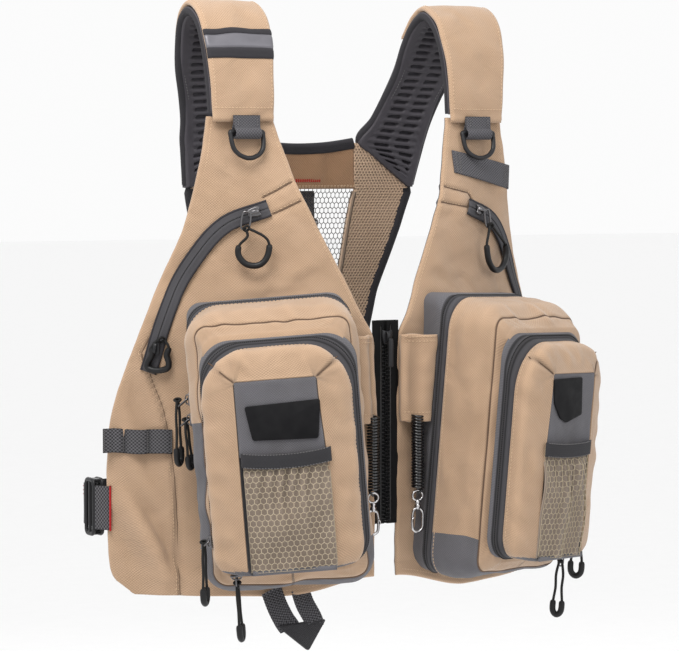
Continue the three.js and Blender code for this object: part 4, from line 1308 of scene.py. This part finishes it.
def hex_net(part, place, inside, box, cell, strand, thickness):
    """Netting of six-sided cells. Each cell is cut to the outline by `inside`, which moves points into it."""
    left, right, foot, top = box
    wide, tall = cell
    angles = np.radians([90, 150, 210, 270, 330, 30])
    shape = np.stack([np.cos(angles) * wide / math.sqrt(3), np.sin(angles) * tall * 2 / 3], 1)
    rows = np.arange(foot, top + tall, tall)
    verts, holes = [], []
    for r, w0 in enumerate(rows):
        for u0 in np.arange(left - wide, right + wide, wide) + (wide / 2 if r % 2 else 0):
            corner = shape + (u0, w0)
            clipped = inside(corner)
            if outline_area(clipped) > 0.35 * wide * tall:
                middle = clipped.mean(0)
                reach = np.linalg.norm(clipped - middle, axis=1, keepdims=True)
                verts.append(clipped)
                holes.append(
                    middle + (clipped - middle) * np.clip(1 - strand / np.maximum(reach, 0.1), 0.25, 1)
                )
    verts, holes = np.array(verts), np.array(holes)
    count = len(verts)

    def laid(p):
        return place(p[..., 0], p[..., 1])

    step = 0.4
    base = laid(verts)
    normal = unit(np.cross(laid(verts + (step, 0)) - base, laid(verts + (0, step)) - base))
    points = np.stack([base + normal * thickness / 2, base - normal * thickness / 2, laid(holes)], 1)
    k = np.arange(6)
    after = (k + 1) % 6
    top_faces = np.stack([k, after, 12 + after, 12 + k], 1)
    low_faces = np.stack([12 + k, 12 + after, 6 + after, 6 + k], 1)
    one = np.vstack([top_faces, low_faces])
    faces = (one[None] + (np.arange(count) * 18)[:, None, None]).reshape(-1, 4)
    cloth = np.stack([verts, verts, holes], 1)
    points, faces, cloth = weld(points.reshape(-1, 3), faces, cloth.reshape(-1, 2))
    part.add(points, [faces], cloth)


def weld(points, faces, cloth):
    """Joins points that lie together."""
    _, first, where = np.unique(np.round(points, 2), axis=0, return_index=True, return_inverse=True)
    return points[first], where.ravel()[faces], cloth[first]


NET_FLAT, NET_CELL, NET_STRAND = (0.079, 0.105), (5.2, 4.8), 0.36


def add_mesh_pocket(side, place):
    surface = mesh_place(side)
    part = Part()
    u = MESH_LEFT + (MESH_RIGHT - MESH_LEFT) * shares(75, 3)
    w = MESH_TOP + (MESH_FOOT - MESH_TOP) * shares(101, 3)
    grid = surface(*np.meshgrid(u, w)) * [1, 1, 0.86] + [0, 0, 13.6]
    slab(part, grid, UPWARDS, 0.5, 0.5, soft=0.8)
    made = piece(f"mesh_lining_{side}", part.moved(place), f"front_{side}", [lining_mesh])

    net = Part()

    def inside(p):
        return np.stack([np.clip(p[:, 0], MESH_LEFT, MESH_RIGHT), np.clip(p[:, 1], MESH_FOOT, MESH_TOP)], 1)

    box = (MESH_LEFT, MESH_RIGHT, MESH_FOOT, MESH_TOP)
    hex_net(net, surface, inside, box, NET_CELL, NET_STRAND, 0.8)
    made = piece(
        f"mesh_net_{side}", net.moved(place), f"front_{side}", [net_khaki], [f"mesh_pocket_{side}"],
    )


def add_pocket_insert(side, place):
    """The band over the net, the strip at its foot and the grey cloth above it."""
    trim = Part()
    band_u = np.linspace(-49, 29.5, 34)
    band_w = np.array([-9.5, -9, -7.5, -3, 1.5, 2.8, 3.2])
    grid_u, grid_w = np.meshgrid(band_u, band_w)
    sag = 3.0 * (1 - ((grid_u + 9) / 39) ** 2) * (0.6 if side == "left" else 1)
    crown = 4.6 - 4.0 * abs((grid_u + 9.5) / 39) ** 3
    grid = xyz(grid_u, grid_w - sag + 2, 113.2 + crown)
    top = slab(trim, grid, UPWARDS, 1.0, 1.0, soft=1.0)
    for row in (1, -2):
        stitches(trim, top[row, 1:-1], UPWARDS, 1, pitch=2.6, length=1.7)
    foot = spaced([(-46, -100.5, 114.6), (27, -100.5, 114.6)], 3)
    sweep(trim, foot, bar(4.5, 2.6, 2), 2, up=UPWARDS)
    insert_s, insert_w = np.meshgrid(shares(75, 4), 66.5 - 65.5 * shares(65.5, 4))
    insert_left = -44.5 + opening_shift(insert_w)
    insert_u = insert_left + (30.4 - insert_left) * insert_s
    depth = 110.9 + 0.35 * ripple(insert_u, insert_w, 24, 41)
    depth = depth + creases(insert_u, insert_w, [(20, 10, 10, 22, 3, 0.8)])
    slab(trim, xyz(insert_u, insert_w, depth), UPWARDS, 0.7, 0.7, slots=(2, 2))
    made = piece(
        f"pocket_insert_{side}", trim.moved(place), f"front_{side}", [elastic, dark_thread, grey_canvas],
    )


PATCH_OUTLINES = {
    "right": ([(-43, 47), (23, 45), (18, 15), (-39, 13)], 2.5),
    "left": ([(-43, 62), (6, 63), (10, 29), (-16, 22), (-27, 26), (-39, 40)], 2.0),
}


def add_patch(side, place):
    label = Part()
    corners, radius = PATCH_OUTLINES[side]
    plate(label, rounded(corners, radius, 5), 0, 1.6, 0.5)
    label.points = [p + [0, 0, 112.0] for p in label.points]
    piece(f"patch_{side}", label.moved(place), f"front_{side}", [patch])


POCKET_SLIDERS = {  # place, way out, reach of the wire, length, sway and half width of the cord
    "pocket_slider_a": ((71.2, 46, 25), (1, 0), 12, 57, 3, 6),
    "pocket_slider_b": ((71.2, 28, 26), (1, 0), 6, 43, -1, 5),
    "front_pocket_slider_a": ((60.2, -74, 85), (1, 0), 8, 54, 3, 5),
    "front_pocket_slider_b": ((42, -104.2, 85), (0, -1), 8, 50, 0, 4),
}


def add_pocket_sliders(side, place):
    """The four sliders of a pocket, each with its wire link and its hanging cord."""
    for name, (at, outwards, reach, length, sway, spread) in POCKET_SLIDERS.items():
        out = np.array([*outwards, 0.0])
        along = np.array([abs(out[1]), abs(out[0]), 0.0])
        wall = np.array(at, float)
        body = Part()
        zip_slider(body, *SMALL_SLIDER, 2.4)
        body.moved(frame_matrix(wall + out * 0.6, np.cross(along, out), along, out))
        link = Part()
        wire_loop(link, max(reach, 8) + 1, 5, 0.75)
        hang = unit(out + np.array([0, -0.7, 0]))
        side_way = unit(np.cross(hang, [0.3, 0, 1]))
        link.moved(frame_matrix(wall + out * 3.5, np.cross(-hang, side_way), -hang, side_way))
        body.join(link)
        rider = f"{name}_{side}"
        piece(f"{name}_metal_{side}", body.moved(place), rider, [gunmetal])
        start = wall + out * reach
        points = hanging_loop(start, length, spread, (sway, 0, 0), (0.3, 0, 1), (0, -1, 0))
        add_loop(f"{name}_cord_{side}", points, rider, place, rider)


# ---- Rings, tabs and webbing on the fronts ----
RING_AT, RING_TAB_WIDTH, RING_TILT = (120, -48.0, -101.0), 26.0, math.radians(15)


def add_dring(side):
    """The webbing tab at the shoulder and the ring that hangs in its fold."""
    bend_x, bend_y, bend_z = RING_AT
    tab = Part()
    loop = [
        (-1.4, 15), (-1.6, 8), (-2.4, 3), (-4.6, 1.8), (-5.6, -1.2), (-4.2, -4.4), (-1.0, -5.6),
        (2.6, -4.4), (4.0, -1), (3.0, 3), (0.8, 8), (0.6, 15)
    ]
    path = curve([(bend_x, bend_y + y, bend_z + z) for y, z in loop], 1.2)
    sweep(tab, path, bar(RING_TAB_WIDTH, 1.7, 3), up=np.cross(headings(path), SIDEWAYS))
    for x in (bend_x - 9.5, bend_x + 9.5):
        line = spaced([(x, bend_y - 2.6, bend_z + 12), (x, bend_y - 3.4, bend_z + 5)], 1)
        stitches(tab, line, AHEAD, 1, pitch=2.2, length=1.6)
    piece(
        f"ring_tab_{side}", tab.sided(side), f"front_{side}", [webbing, dark_thread], [f"dring_tab_{side}"],
    )

    ring = Part()
    half, drop = 15.8, 23.0
    shape = [
        (-half, 0), (-half * 0.5, 0.3), (half * 0.5, 0.3), (half, 0), (half + 0.3, -3.4),
        (half, -drop * 0.42)
    ]
    arc = [
        (half * math.cos(a), -drop * 0.42 - half * 0.92 * math.sin(a))
        for a in np.radians([25, 50, 75, 90, 105, 130, 155])
    ]
    outline = shape + arc + [(-half, -drop * 0.42), (-half - 0.3, -3.4)]
    back, down = math.sin(RING_TILT), math.cos(RING_TILT)
    path = curve([(bend_x + u, bend_y + v * back, bend_z + v * down) for u, v in outline], 1.0, True)
    sweep(ring, path, disc(2.15, 12), closed=True)
    piece(f"ring_{side}", ring.sided(side), f"dring_{side}", [acetal], [f"dring_{side}"])


def add_shoulder_webbing():
    """The slanting strip of webbing on the left of the chest."""
    part = Part()
    u = shares(74, 2)
    x = 91 + 73 * u
    top, low = -117 - 14 * u, -138 - 16 * u
    v = shares(21, 1.6)[:, None]
    z = top * (1 - v) + low * v
    lift = 1.6 + 1.6 * np.sin(math.pi * u) ** 2
    grid = xyz(x, front_y(x, z) - lift, z)
    face = slab(part, grid, AHEAD, 1.1, 1.1, soft=0.9)
    for column_at in (4, 6, -5, -7):
        line = face[2:-2, column_at]
        stitches(part, line, AHEAD, 1, pitch=1.7, length=2.6, slant=1.4)
    made = piece(
        "shoulder_strip", part, "front_left", [webbing, dark_thread], ["shoulder_webbing"]
    )


def add_webbing_loops():
    """A strip of webbing sewn down so that it stands up in three loops."""
    part = Part()
    u = shares(51, 1.2)
    x = 181.5 + 51 * u
    hump = 3.9 * abs(np.sin(3 * math.pi * u)) ** 0.7
    v = shares(22, 1.8)[:, None]
    z = -368.5 - 22 * v + 0.5 * np.sin(3 * math.pi * u)
    grid = xyz(x, front_y(np.minimum(x, 224), z) - 2.5 - hump, z)
    # Painted shade: the webbing is darkened in the valleys between the loops.
    valley_shade = np.exp(-((hump / 1.5) ** 2))[None, :]
    face = slab(part, grid, AHEAD, 0.9, 0.9, shade=0.8 * valley_shade, soft=0.8)
    for share in (0.015, 0.333, 0.667, 0.985):
        line = face[2:-2, int(np.argmin(abs(u - share)))]
        stitches(part, line, AHEAD, 1, pitch=1.8, length=2.4, slant=1.2)
    made = piece(
        "loop_strip", part.sided("right"), "front_right", [loop_webbing, dark_thread], ["webbing_loops"],
    )


def add_rod_loop():
    """The ribbed webbing loop under the hem, folded to a point, with a grey patch on its tip."""
    part = Part()
    legs = [
        [(107, -512), (101, -527), (94, -540), (88.8, -547), (88.2, -549.2)],
        [(79, -512), (74, -526), (67, -538), (63.9, -544.4), (63.6, -546.4)]
    ]
    for index, leg in enumerate(legs):
        path = np.array([(x, -70.3 - 1.6 * index, z) for x, z in curve(leg, 1.0)])
        path[:, 1] -= 0.35 * np.sin(run_along(path) * 2 * math.pi / 3.0)
        sweep(part, path, bar(20.5 if index == 0 else 18.5, 1.9, 5), up=AHEAD)
    tip = rounded([(52, -542), (102, -545), (70, -570)], 2.5, 5)
    cap = Part()
    plate(cap, tip, 0, 4.8, 1.3)
    cap.moved(frame_matrix((0, -68.2, 0), (1, 0, 0), (0, 0, 1), (0, -1, 0)))
    part.join(cap, 1)
    made = piece(
        "rod_holder", part.sided("right"), "front_right", [loop_webbing, grey_canvas], ["rod_loop"],
    )


# ---- Back of the vest ----
PAD = 8.0
SHOULDER_MIDDLE = np.array([0, 18, -70])
SHOULDER_PATH = [
    (-40, -84, 92, 150, 0.1), (-39, -55, 91, 152, 0.08), (-33, -21, 89, 155, 0.04), (-20, 2, 88, 156, 0),
    (0, 12, 88, 156, 0), (20, 4, 88, 155, -0.03), (36, -15, 87, 151, -0.06), (49.5, -40, 86, 146, -0.1),
    (61.5, -66, 80, 138, -0.14),
]


def slant(z):
    """The inner edge of the pad along the yoke."""
    return 59 - (z + 108) * 1.277


PAD_BACK = [
    (-90, 72, 132), (-108, 61, 129.5), (-120, slant(-120) + 1, 127.5), (-132, slant(-132) + 1, 125.5),
    (-144, slant(-144) + 1, 123.5), (-152, slant(-152) + 1, 122.3),
]


def pad_edges(per, stations=None):
    """Both edges of the shoulder pad's outer surface, from the chest over the shoulder to the back."""
    rows = []
    for y, z, inner, outer, lean in SHOULDER_PATH:
        half = (outer - inner) / 2
        rows.append(((inner, y - lean * half, z), (outer, y + lean * half, z)))
    for z, inner, outer in PAD_BACK:
        rows.append(((inner, float(back_y(inner, z)), z), (outer, float(back_y(outer, z)), z)))
    rows = rows[:stations]
    return through([r[0] for r in rows], per), through([r[1] for r in rows], per)


def between(inner, outer, u):
    """A grid across two edges, at shares u."""
    return inner[:, None] * (1 - u)[None, :, None] + outer[:, None] * u[None, :, None]


def shoulder_outwards(grid):
    away = grid - SHOULDER_MIDDLE
    away[..., 0] = 0
    return unit(away)


GROOVE_PITCH, GROOVE_HALF, GROOVE_CENTRES = 7.8, 7.0, (-10.2, 10.2)


def add_pad(side):
    """The foam pad, with two rows of grooves across its inner side and a bound edge."""
    inner, outer = pad_edges(20)
    grid = between(inner, outer, shares(60, 0.9))
    across, along, edge = runs(grid)
    middle = shoulder_outwards(grid)
    offset = across - across[:, -1:] / 2
    phase = (along + 0.02 * offset) % GROOVE_PITCH - GROOVE_PITCH / 2
    grooves = 0.0
    for centre in GROOVE_CENTRES:
        reach = np.maximum(abs(offset - centre) - GROOVE_HALF + 1.6, 0)
        grooves = grooves + 1 - smooth(np.hypot(reach, phase), 0.9, 2.1)
    inside = smooth(edge, 9, 11)
    ridge = 0.8 * np.sin((along + GROOVE_PITCH / 4) * math.tau / GROOVE_PITCH) * inside
    part = Part()
    slab(part, grid, middle, 0.3, PAD - 0.6 - 3.4 * grooves * inside + ridge * 0.6, soft=4.0)
    for edge_line, turn in ((inner, 1), (outer, -1)):
        inward = unit(outer - inner) * turn
        centre = edge_line + inward * 3.4
        up = middle[:, 0] if turn == 1 else middle[:, -1]
        sweep(part, centre - up * 3.6, bar(9, 8.6, 5), 1, up=up)
        side_line = centre - up * 8.1 + inward * 3.3
        stitches(part, side_line, -up, 2, pitch=3.0, length=2.1)
    up = middle[-1]
    end = grid[-1] - headings(grid[:, 0])[-1] * 2.0 - up * 3.4
    sweep(part, end[2:-2], bar(8, 8.0, 4), 1, up=up[2:-2])
    made = piece(
        f"pad_{side}", part.sided(side), "back", [foam, binding, dark_thread], [f"shoulder_pad_{side}"],
    )


COVER_FOLDS = [(100, 14, 122, 6, 5, 0.9), (150, 60, 130, 70, 6, 0.8), (96, 90, 110, 100, 6, 0.9)]


def add_cover(side):
    """The cloth over the top of the shoulder. The right one has a reflective tab."""
    inner, outer = pad_edges(16, 7)
    drop = np.array([[0, -0.9, -6.5], [0, -0.6, -3.4]])
    inner, outer = (np.vstack([e[0] + drop, e]) for e in (inner, outer))
    u = shares(62, 2.2)
    grid = between(inner, outer, u)
    up = shoulder_outwards(grid)
    _, along, _ = runs(grid)
    x = grid[..., 0]
    seed = 51 if side == "left" else 57
    crown = 1.3 * np.sin(math.pi * u)[None, :] ** 0.6 + 0.5 * ripple(x, along, 34, seed)
    crown = crown + creases(x, along, COVER_FOLDS)
    grid = grid + up * (3.0 + crown[..., None])
    part = Part()
    top = slab(part, grid, up, 2.5, 2.5, soft=3.2)
    for row in (5, -6):
        stitches(part, top[row, 3:-3], up[row, 3:-3], 1)
    for column_at in (4, -5):
        stitches(part, top[4:-4, column_at], up[4:-4, column_at], 1)
    if side == "right":
        z = top[:, 0, 2]
        front = (np.arange(len(z)) < len(z) * 0.5) & (z < -9) & (z > -37)
        rows = np.nonzero(front)[0]
        for first, last, slot in ((0.0, 0.3, 2), (0.3, 0.72, 3), (0.72, 1.0, 2)):
            picked = rows[int(first * len(rows)):max(int(last * len(rows)), 1) + 1]
            if len(picked) > 1:
                slab(
                    part, top[picked] + up[picked] * 0.55, up[picked], 0.35, 0.35, soft=0.5,
                    slots=(slot, slot)
                )
    made = piece(
        f"cover_{side}", part.sided(side), "back", [canvas, thread, binding, reflective],
        [f"strap_cover_{side}"],
    )


NET_HALF = [(-154, 63.5), (-230, 50), (-300, 40), (-331, 36)]
NET_TOP, NET_FOOT = -153, -331.5
SPACER_EDGES = [
    (-110, 57.2, 64), (-154, 62.6, 119.5), (-189, 56.6, 110), (-252, 47.6, 88), (-286, 42.8, 80),
    (-329.5, 36.7, 76.3),
]


SPACER_CELL = (3.1, 2.7)


def add_spacer(side):
    """The spacer mesh beside the net, with its pits in rows, and the bound edge of its armhole."""
    height = SPACER_EDGES[0][0] - SPACER_EDGES[-1][0]
    z = SPACER_EDGES[0][0] - height * shares(height, 0.8)
    s = shares(52, 0.8)
    inner, outer = (eased(SPACER_EDGES, z, i, 3)[:, None] for i in (1, 2))
    x = inner + (outer - inner) * s[None, :]
    zz = np.broadcast_to(z[:, None], x.shape)
    wide, tall = SPACER_CELL
    row = np.round(zz / tall)
    u = x / wide + 0.5 * (row % 2)
    pit = np.hypot((u - np.round(u)) * wide, zz - row * tall)
    hole = 1 - smooth(pit, 0.55, 1.15)
    wave = 0.6 * ripple(x, zz, 50, 61)
    grid = xyz(x, back_y(x, zz) - PANEL / 2 + wave, zz)
    part = Part()
    # Painted shade: the pits of the spacer mesh are darkened as if shaded.
    slab(part, grid, BEHIND, PANEL / 2 - 1.1 * hole, PANEL / 2 - 1.1 * hole, 0.78 * hole, soft=1.5)
    made = piece(f"spacer_{side}", part.sided(side), "back", [spacer], [f"back_spacer_{side}"])
    for name, edges, index in (("arm", z < -152, -1), ("seam", z < -156, 0)):
        line = grid[edges][:, index]
        trim = Part()
        shift = np.array([-2.2 if index else 1.0, 0, 0])
        width, thickness = (9.0, 7.6) if index else (3.4, 6.2)
        sweep(trim, line[::6] + shift, bar(width, thickness, 4), 0, up=BEHIND)
        piece(
            f"spacer_{name}_{side}", trim.sided(side), "back", [binding if index else spacer],
        )


def add_net():
    def place(x, z):
        return xyz(x, back_y(x, z) - 2.0 + 0.9 * ripple(x, z, 60, 71), z)

    def inside(p):
        z = np.clip(p[:, 1], NET_FOOT, NET_TOP)
        half = column(NET_HALF, z, 1) + 1.0
        return np.stack([np.clip(p[:, 0], -half, half), z], 1)

    part = Part()
    hex_net(part, place, inside, (-64, 64, NET_FOOT, NET_TOP), (4.3, 4.9), 0.42, 0.8)
    made = piece("net", part, "back", [net_black], ["back_net"])


LOWER_HALF = [(-331, 76), (-360, 79), (-410, 84), (-470, 88)]
YOKE_FOLDS = [(-30, -112, -24, -150, 6, 1.0), (28, -114, 34, -150, 6, 0.9)]
LOWER_FOLDS = [
    (-60, -350, -20, -440, 9, 1.6), (60, -345, 30, -430, 9, 1.4), (-70, -440, 10, -455, 8, 1.2)
]


def add_yoke():
    """The cloth behind the neck, with a bound top edge and a red bartack on its inner side."""
    part = Part()
    s = shares(127, 2.6)
    t = shares(48, 2.4)[:, None]
    x = (2 * s - 1)[None, :] * (57.5 + 6 * t)
    dip = 6 * (1 - (x / 60) ** 2)
    z = -107 - dip * (1 - t) - 47 * t
    folds = 0.7 * ripple(x, z, 36, 81) + creases(x, z, YOKE_FOLDS)
    grid = xyz(x, back_y(x, z) - 2.5 + folds, z)
    slab(part, grid, BEHIND, 2.5, 2.5)
    edge = grid[0] + [0, 0, -3.0]
    sweep(part, edge, bar(11, 7.4, 5), 1, up=BEHIND)
    inside = grid - [0, 2.7, 0]
    for row in (-5, -4):
        stitches(part, inside[row, 2:-2], AHEAD, 2)
    red = inside[-7, (x[-7] > -6) & (x[-7] < 27)]
    for lift in (0.0, 1.1, 2.2):
        stitches(
            part, red + [0, 0, lift], AHEAD, 3, pitch=2.2, length=1.9,
            radius=0.6, slant=0.5 - 0.4 * lift
        )
    made = piece(
        "yoke", part, "back", [shaded_canvas, binding, thread, red_thread], ["back_yoke"]
    )


def add_lower_back():
    """The panel under the net, with three bound edges."""
    lower = Part()
    z = -331 - 139 * shares(139, 3)
    half = column(LOWER_HALF, z, 1)[:, None]
    x = (2 * shares(172, 3) - 1)[None, :] * half
    zz = np.broadcast_to(z[:, None], x.shape)
    folds = 0.9 * ripple(x, zz, 52, 91) + creases(x, zz, LOWER_FOLDS)
    grid = xyz(x, back_y(x, zz) - 2.5 + folds, zz)
    top = slab(lower, grid, BEHIND, 2.5, 2.5)
    for row in (5, -6):
        stitches(lower, top[row, 2:-2], BEHIND, 2)
        stitches(lower, (grid - [0, 2.6, 0])[row, 2:-2], AHEAD, 2)
    for line in (grid[-1], grid[:, 0], grid[:, -1]):
        sweep(lower, line * [0.985, 1, 1] + [0, 0, 1.5], bar(8, 6.4, 4), 1, up=BEHIND)
    made = piece(
        "lower_back", lower, "back", [shaded_canvas, binding, thread], ["back_lower_panel"]
    )


def add_net_ring():
    """The tab under the yoke and the metal ring for a landing net."""
    tab = Part()
    path = curve(
        [
            (0, 103.2, -156), (0, 103.4, -168), (0, 105.5, -178), (0, 109.2, -182.5), (0, 108.6, -187.4),
            (0, 104.4, -189.2), (0, 100.4, -186.5), (0, 100.2, -180), (0, 100.6, -168), (0, 100.8, -156)
        ],
        1.4
    )
    sweep(tab, path, bar(52, 1.8, 3), up=np.cross(headings(path), SIDEWAYS))
    for height in (-158.5, -166):
        line = spaced([(-22, 104.6, height), (22, 104.6, height)], 1.5)
        stitches(tab, line, BEHIND, 1, pitch=2.4, length=1.8)
    piece("net_tab", tab, "back", [webbing, dark_thread], ["net_ring_tab"])
    ring = Part()
    half = 29.0
    outline = [
        (-half, 0), (-half * 0.5, 0.3), (half * 0.5, 0.3), (half, 0), (half + 0.4, -5), (half * 0.97, -14)
    ]
    arc = [
        (half * math.cos(a), -12 - 25.5 * math.sin(a))
        for a in np.radians([22, 45, 68, 90, 112, 135, 158])
    ]
    path = curve(
        [(u, 104, -184 + v) for u, v in outline + arc + [(-half * 0.97, -14), (-half - 0.4, -5)]], 1.2, True
    )
    sweep(ring, path, disc(2.0, 12), closed=True)
    piece("landing_ring", ring, "net_ring", [steel], ["net_ring"])


STRAP_ROUTE = [
    (232, 30), (231, 50), (230.5, 62), (226, 76), (212, 90), (180, 100), (140, 104), (100, 103), (74, 101.5),
]
STRAP_Z = -441.0
TAB_ROUTE = [(225.4, 18.6), (229.4, 24.5), (233.4, 31.0), (234.2, 34.5)]


def add_side_strap(side):
    """The webbing from the back round to the side buckle."""
    part = Part()
    flat = through(STRAP_ROUTE, 10)
    t = shares(38, 1.8)
    z = STRAP_Z + 19 - 38 * t
    heading = headings(flat)
    inward = np.stack([-heading[:, 1], heading[:, 0]], 1)
    run = run_along(flat)
    middle = flat + inward * 1.2
    swell = 0.5 * ripple(run[:, None], z[None, :], 40, 95) * smooth(run, 30, 60)[:, None]
    grid = xyz(
        middle[:, 0, None] - inward[:, 0, None] * swell, middle[:, 1, None] - inward[:, 1, None] * swell, z
    )
    outward = xyz(-inward[:, 0, None], -inward[:, 1, None], np.zeros(len(z)))
    top = slab(part, grid, outward, 1.1, 1.1, soft=0.8)
    index = int(np.argmin(abs(run - 44)))
    for column_at in (4, 6, 8):
        line = top[index:index + 4, column_at]
        stitches(part, line, outward[index:index + 4, column_at], 1, pitch=1.6, length=2.2, radius=0.5)
    made = piece(
        f"strap_{side}", part.sided(side), "back", [black_webbing, red_thread], [f"side_strap_{side}"],
    )


def add_waist_tab(side):
    """The webbing end on the front that the side buckle closes over."""
    tab = Part()
    flat = curve(TAB_ROUTE, 1.0)
    z = STRAP_Z + 20 - 40 * shares(40, 1.8)
    heading = headings(flat)
    outward = xyz(heading[:, 1, None], -heading[:, 0, None], np.zeros(len(z)))
    slab(tab, xyz(flat[:, 0, None], flat[:, 1, None], z), outward, 0.9, 0.9, soft=0.8)
    edge = spaced([(225.4, 17.9, STRAP_Z + 20.5), (225.4, 17.9, STRAP_Z - 20.5)], 2)
    sweep(tab, edge, disc(1.0, 8), 1)
    piece(
        f"waist_tab_{side}", tab.sided(side), f"front_{side}", [loop_webbing, red_thread],
    )


def add_buckle(side):
    """Two frames with cross bars, joined at their ends."""
    buckle = Part()
    cy, half_y, half_z = 42.0, 8.4, 24.6
    outline = rounded([(-half_y, -half_z), (half_y, -half_z), (half_y, half_z), (-half_y, half_z)], 5, 6)
    for x in (226.2, 234.8):
        path = spaced([(x, cy + a, STRAP_Z + b) for a, b in outline], 1.6, True)
        sweep(buckle, path, bar(4.2, 3.4, 3), closed=True, up=SIDEWAYS)
        cross = spaced([(x, cy, STRAP_Z - half_z), (x, cy, STRAP_Z + half_z)], 2)
        sweep(buckle, cross, bar(4.0, 2.8, 3), up=SIDEWAYS)
    for b in (-half_z, half_z):
        bridge = spaced([(225.6, cy, STRAP_Z + b * 0.97), (235.4, cy, STRAP_Z + b * 0.97)], 1.5)
        sweep(buckle, bridge, bar(15, 3.4, 3), up=UPWARDS)
    piece(
        f"buckle_{side}", buckle.sided(side), f"side_buckle_{side}", [acetal], [f"side_buckle_{side}"],
    )


def add_centre_slider():
    """The slider of the centre zip and its flat pull."""
    body = Part()
    zip_slider(body, 11, 13, 3)
    body.moved(frame_matrix((0, -90.4, -286), (1, 0, 0), (0, 0, 1), (0, -1, 0)))
    piece("main_slider", body, "centre_slider", [acetal], ["centre_zip_slider"])
    pull = Part()
    outline = rounded(
        [(-2.0, 13), (2.0, 13), (2.75, 8), (2.4, -4), (2.75, -13), (-2.75, -13), (-2.4, -4), (-2.75, 8)],
        1.2, 4
    )
    plate(pull, outline, -0.9, 0.9, 0.5)
    pull.moved(frame_matrix((0, -98.8, -300), (1, 0, 0), (0, 0, 1), (0, -1, 0)))
    piece("main_pull", pull, "centre_pull", [acetal], ["centre_zip_pull"])


# ---- Floor and assembly ----
def add_floor():
    """A wide pale floor, well below the hanging vest."""
    reach, low = 30.0, -1.05
    corners = [(-reach, -reach, low), (reach, -reach, low), (reach, reach, low), (-reach, reach, low)]
    mesh = bpy.data.meshes.new("floor")
    mesh.from_pydata(corners, [], [(0, 1, 2, 3)])
    g = Graph("floor", 0.9)
    place = g.tree.nodes.new("ShaderNodeTexCoord").outputs["Object"]
    grain = g.add("TexNoise", Vector=place, Scale=30.0, Detail=3.0)
    mesh.materials.append(g.finish(g.mix(grain, (0.94, 0.94, 0.94, 1), (0.97, 0.97, 0.97, 1)), grain, 0.2))
    floor = bpy.data.objects.new("floor", mesh)
    bpy.context.scene.collection.objects.link(floor)


def build():
    add_floor()
    for side in SIDES:
        add_tether_sleeve(side)
        add_tether_cord(side)
        add_chest_sliders(side)
        place = pocket_matrix(side)
        add_pocket_sliders(side, place)
        add_front_panel(side)
        add_zip_half(side)
        add_chest_zip(side)
        add_gussets(side, place)
        add_shell(side, place)
        add_front_shell(side, place)
        add_mesh_pocket(side, place)
        add_pocket_insert(side, place)
        add_patch(side, place)
        add_dring(side)
        add_pad(side)
        add_cover(side)
        add_spacer(side)
        add_side_strap(side)
        add_waist_tab(side)
        add_buckle(side)
    add_shoulder_webbing()
    add_webbing_loops()
    add_rod_loop()
    add_net()
    add_yoke()
    add_lower_back()
    add_net_ring()
    add_centre_slider()


build()
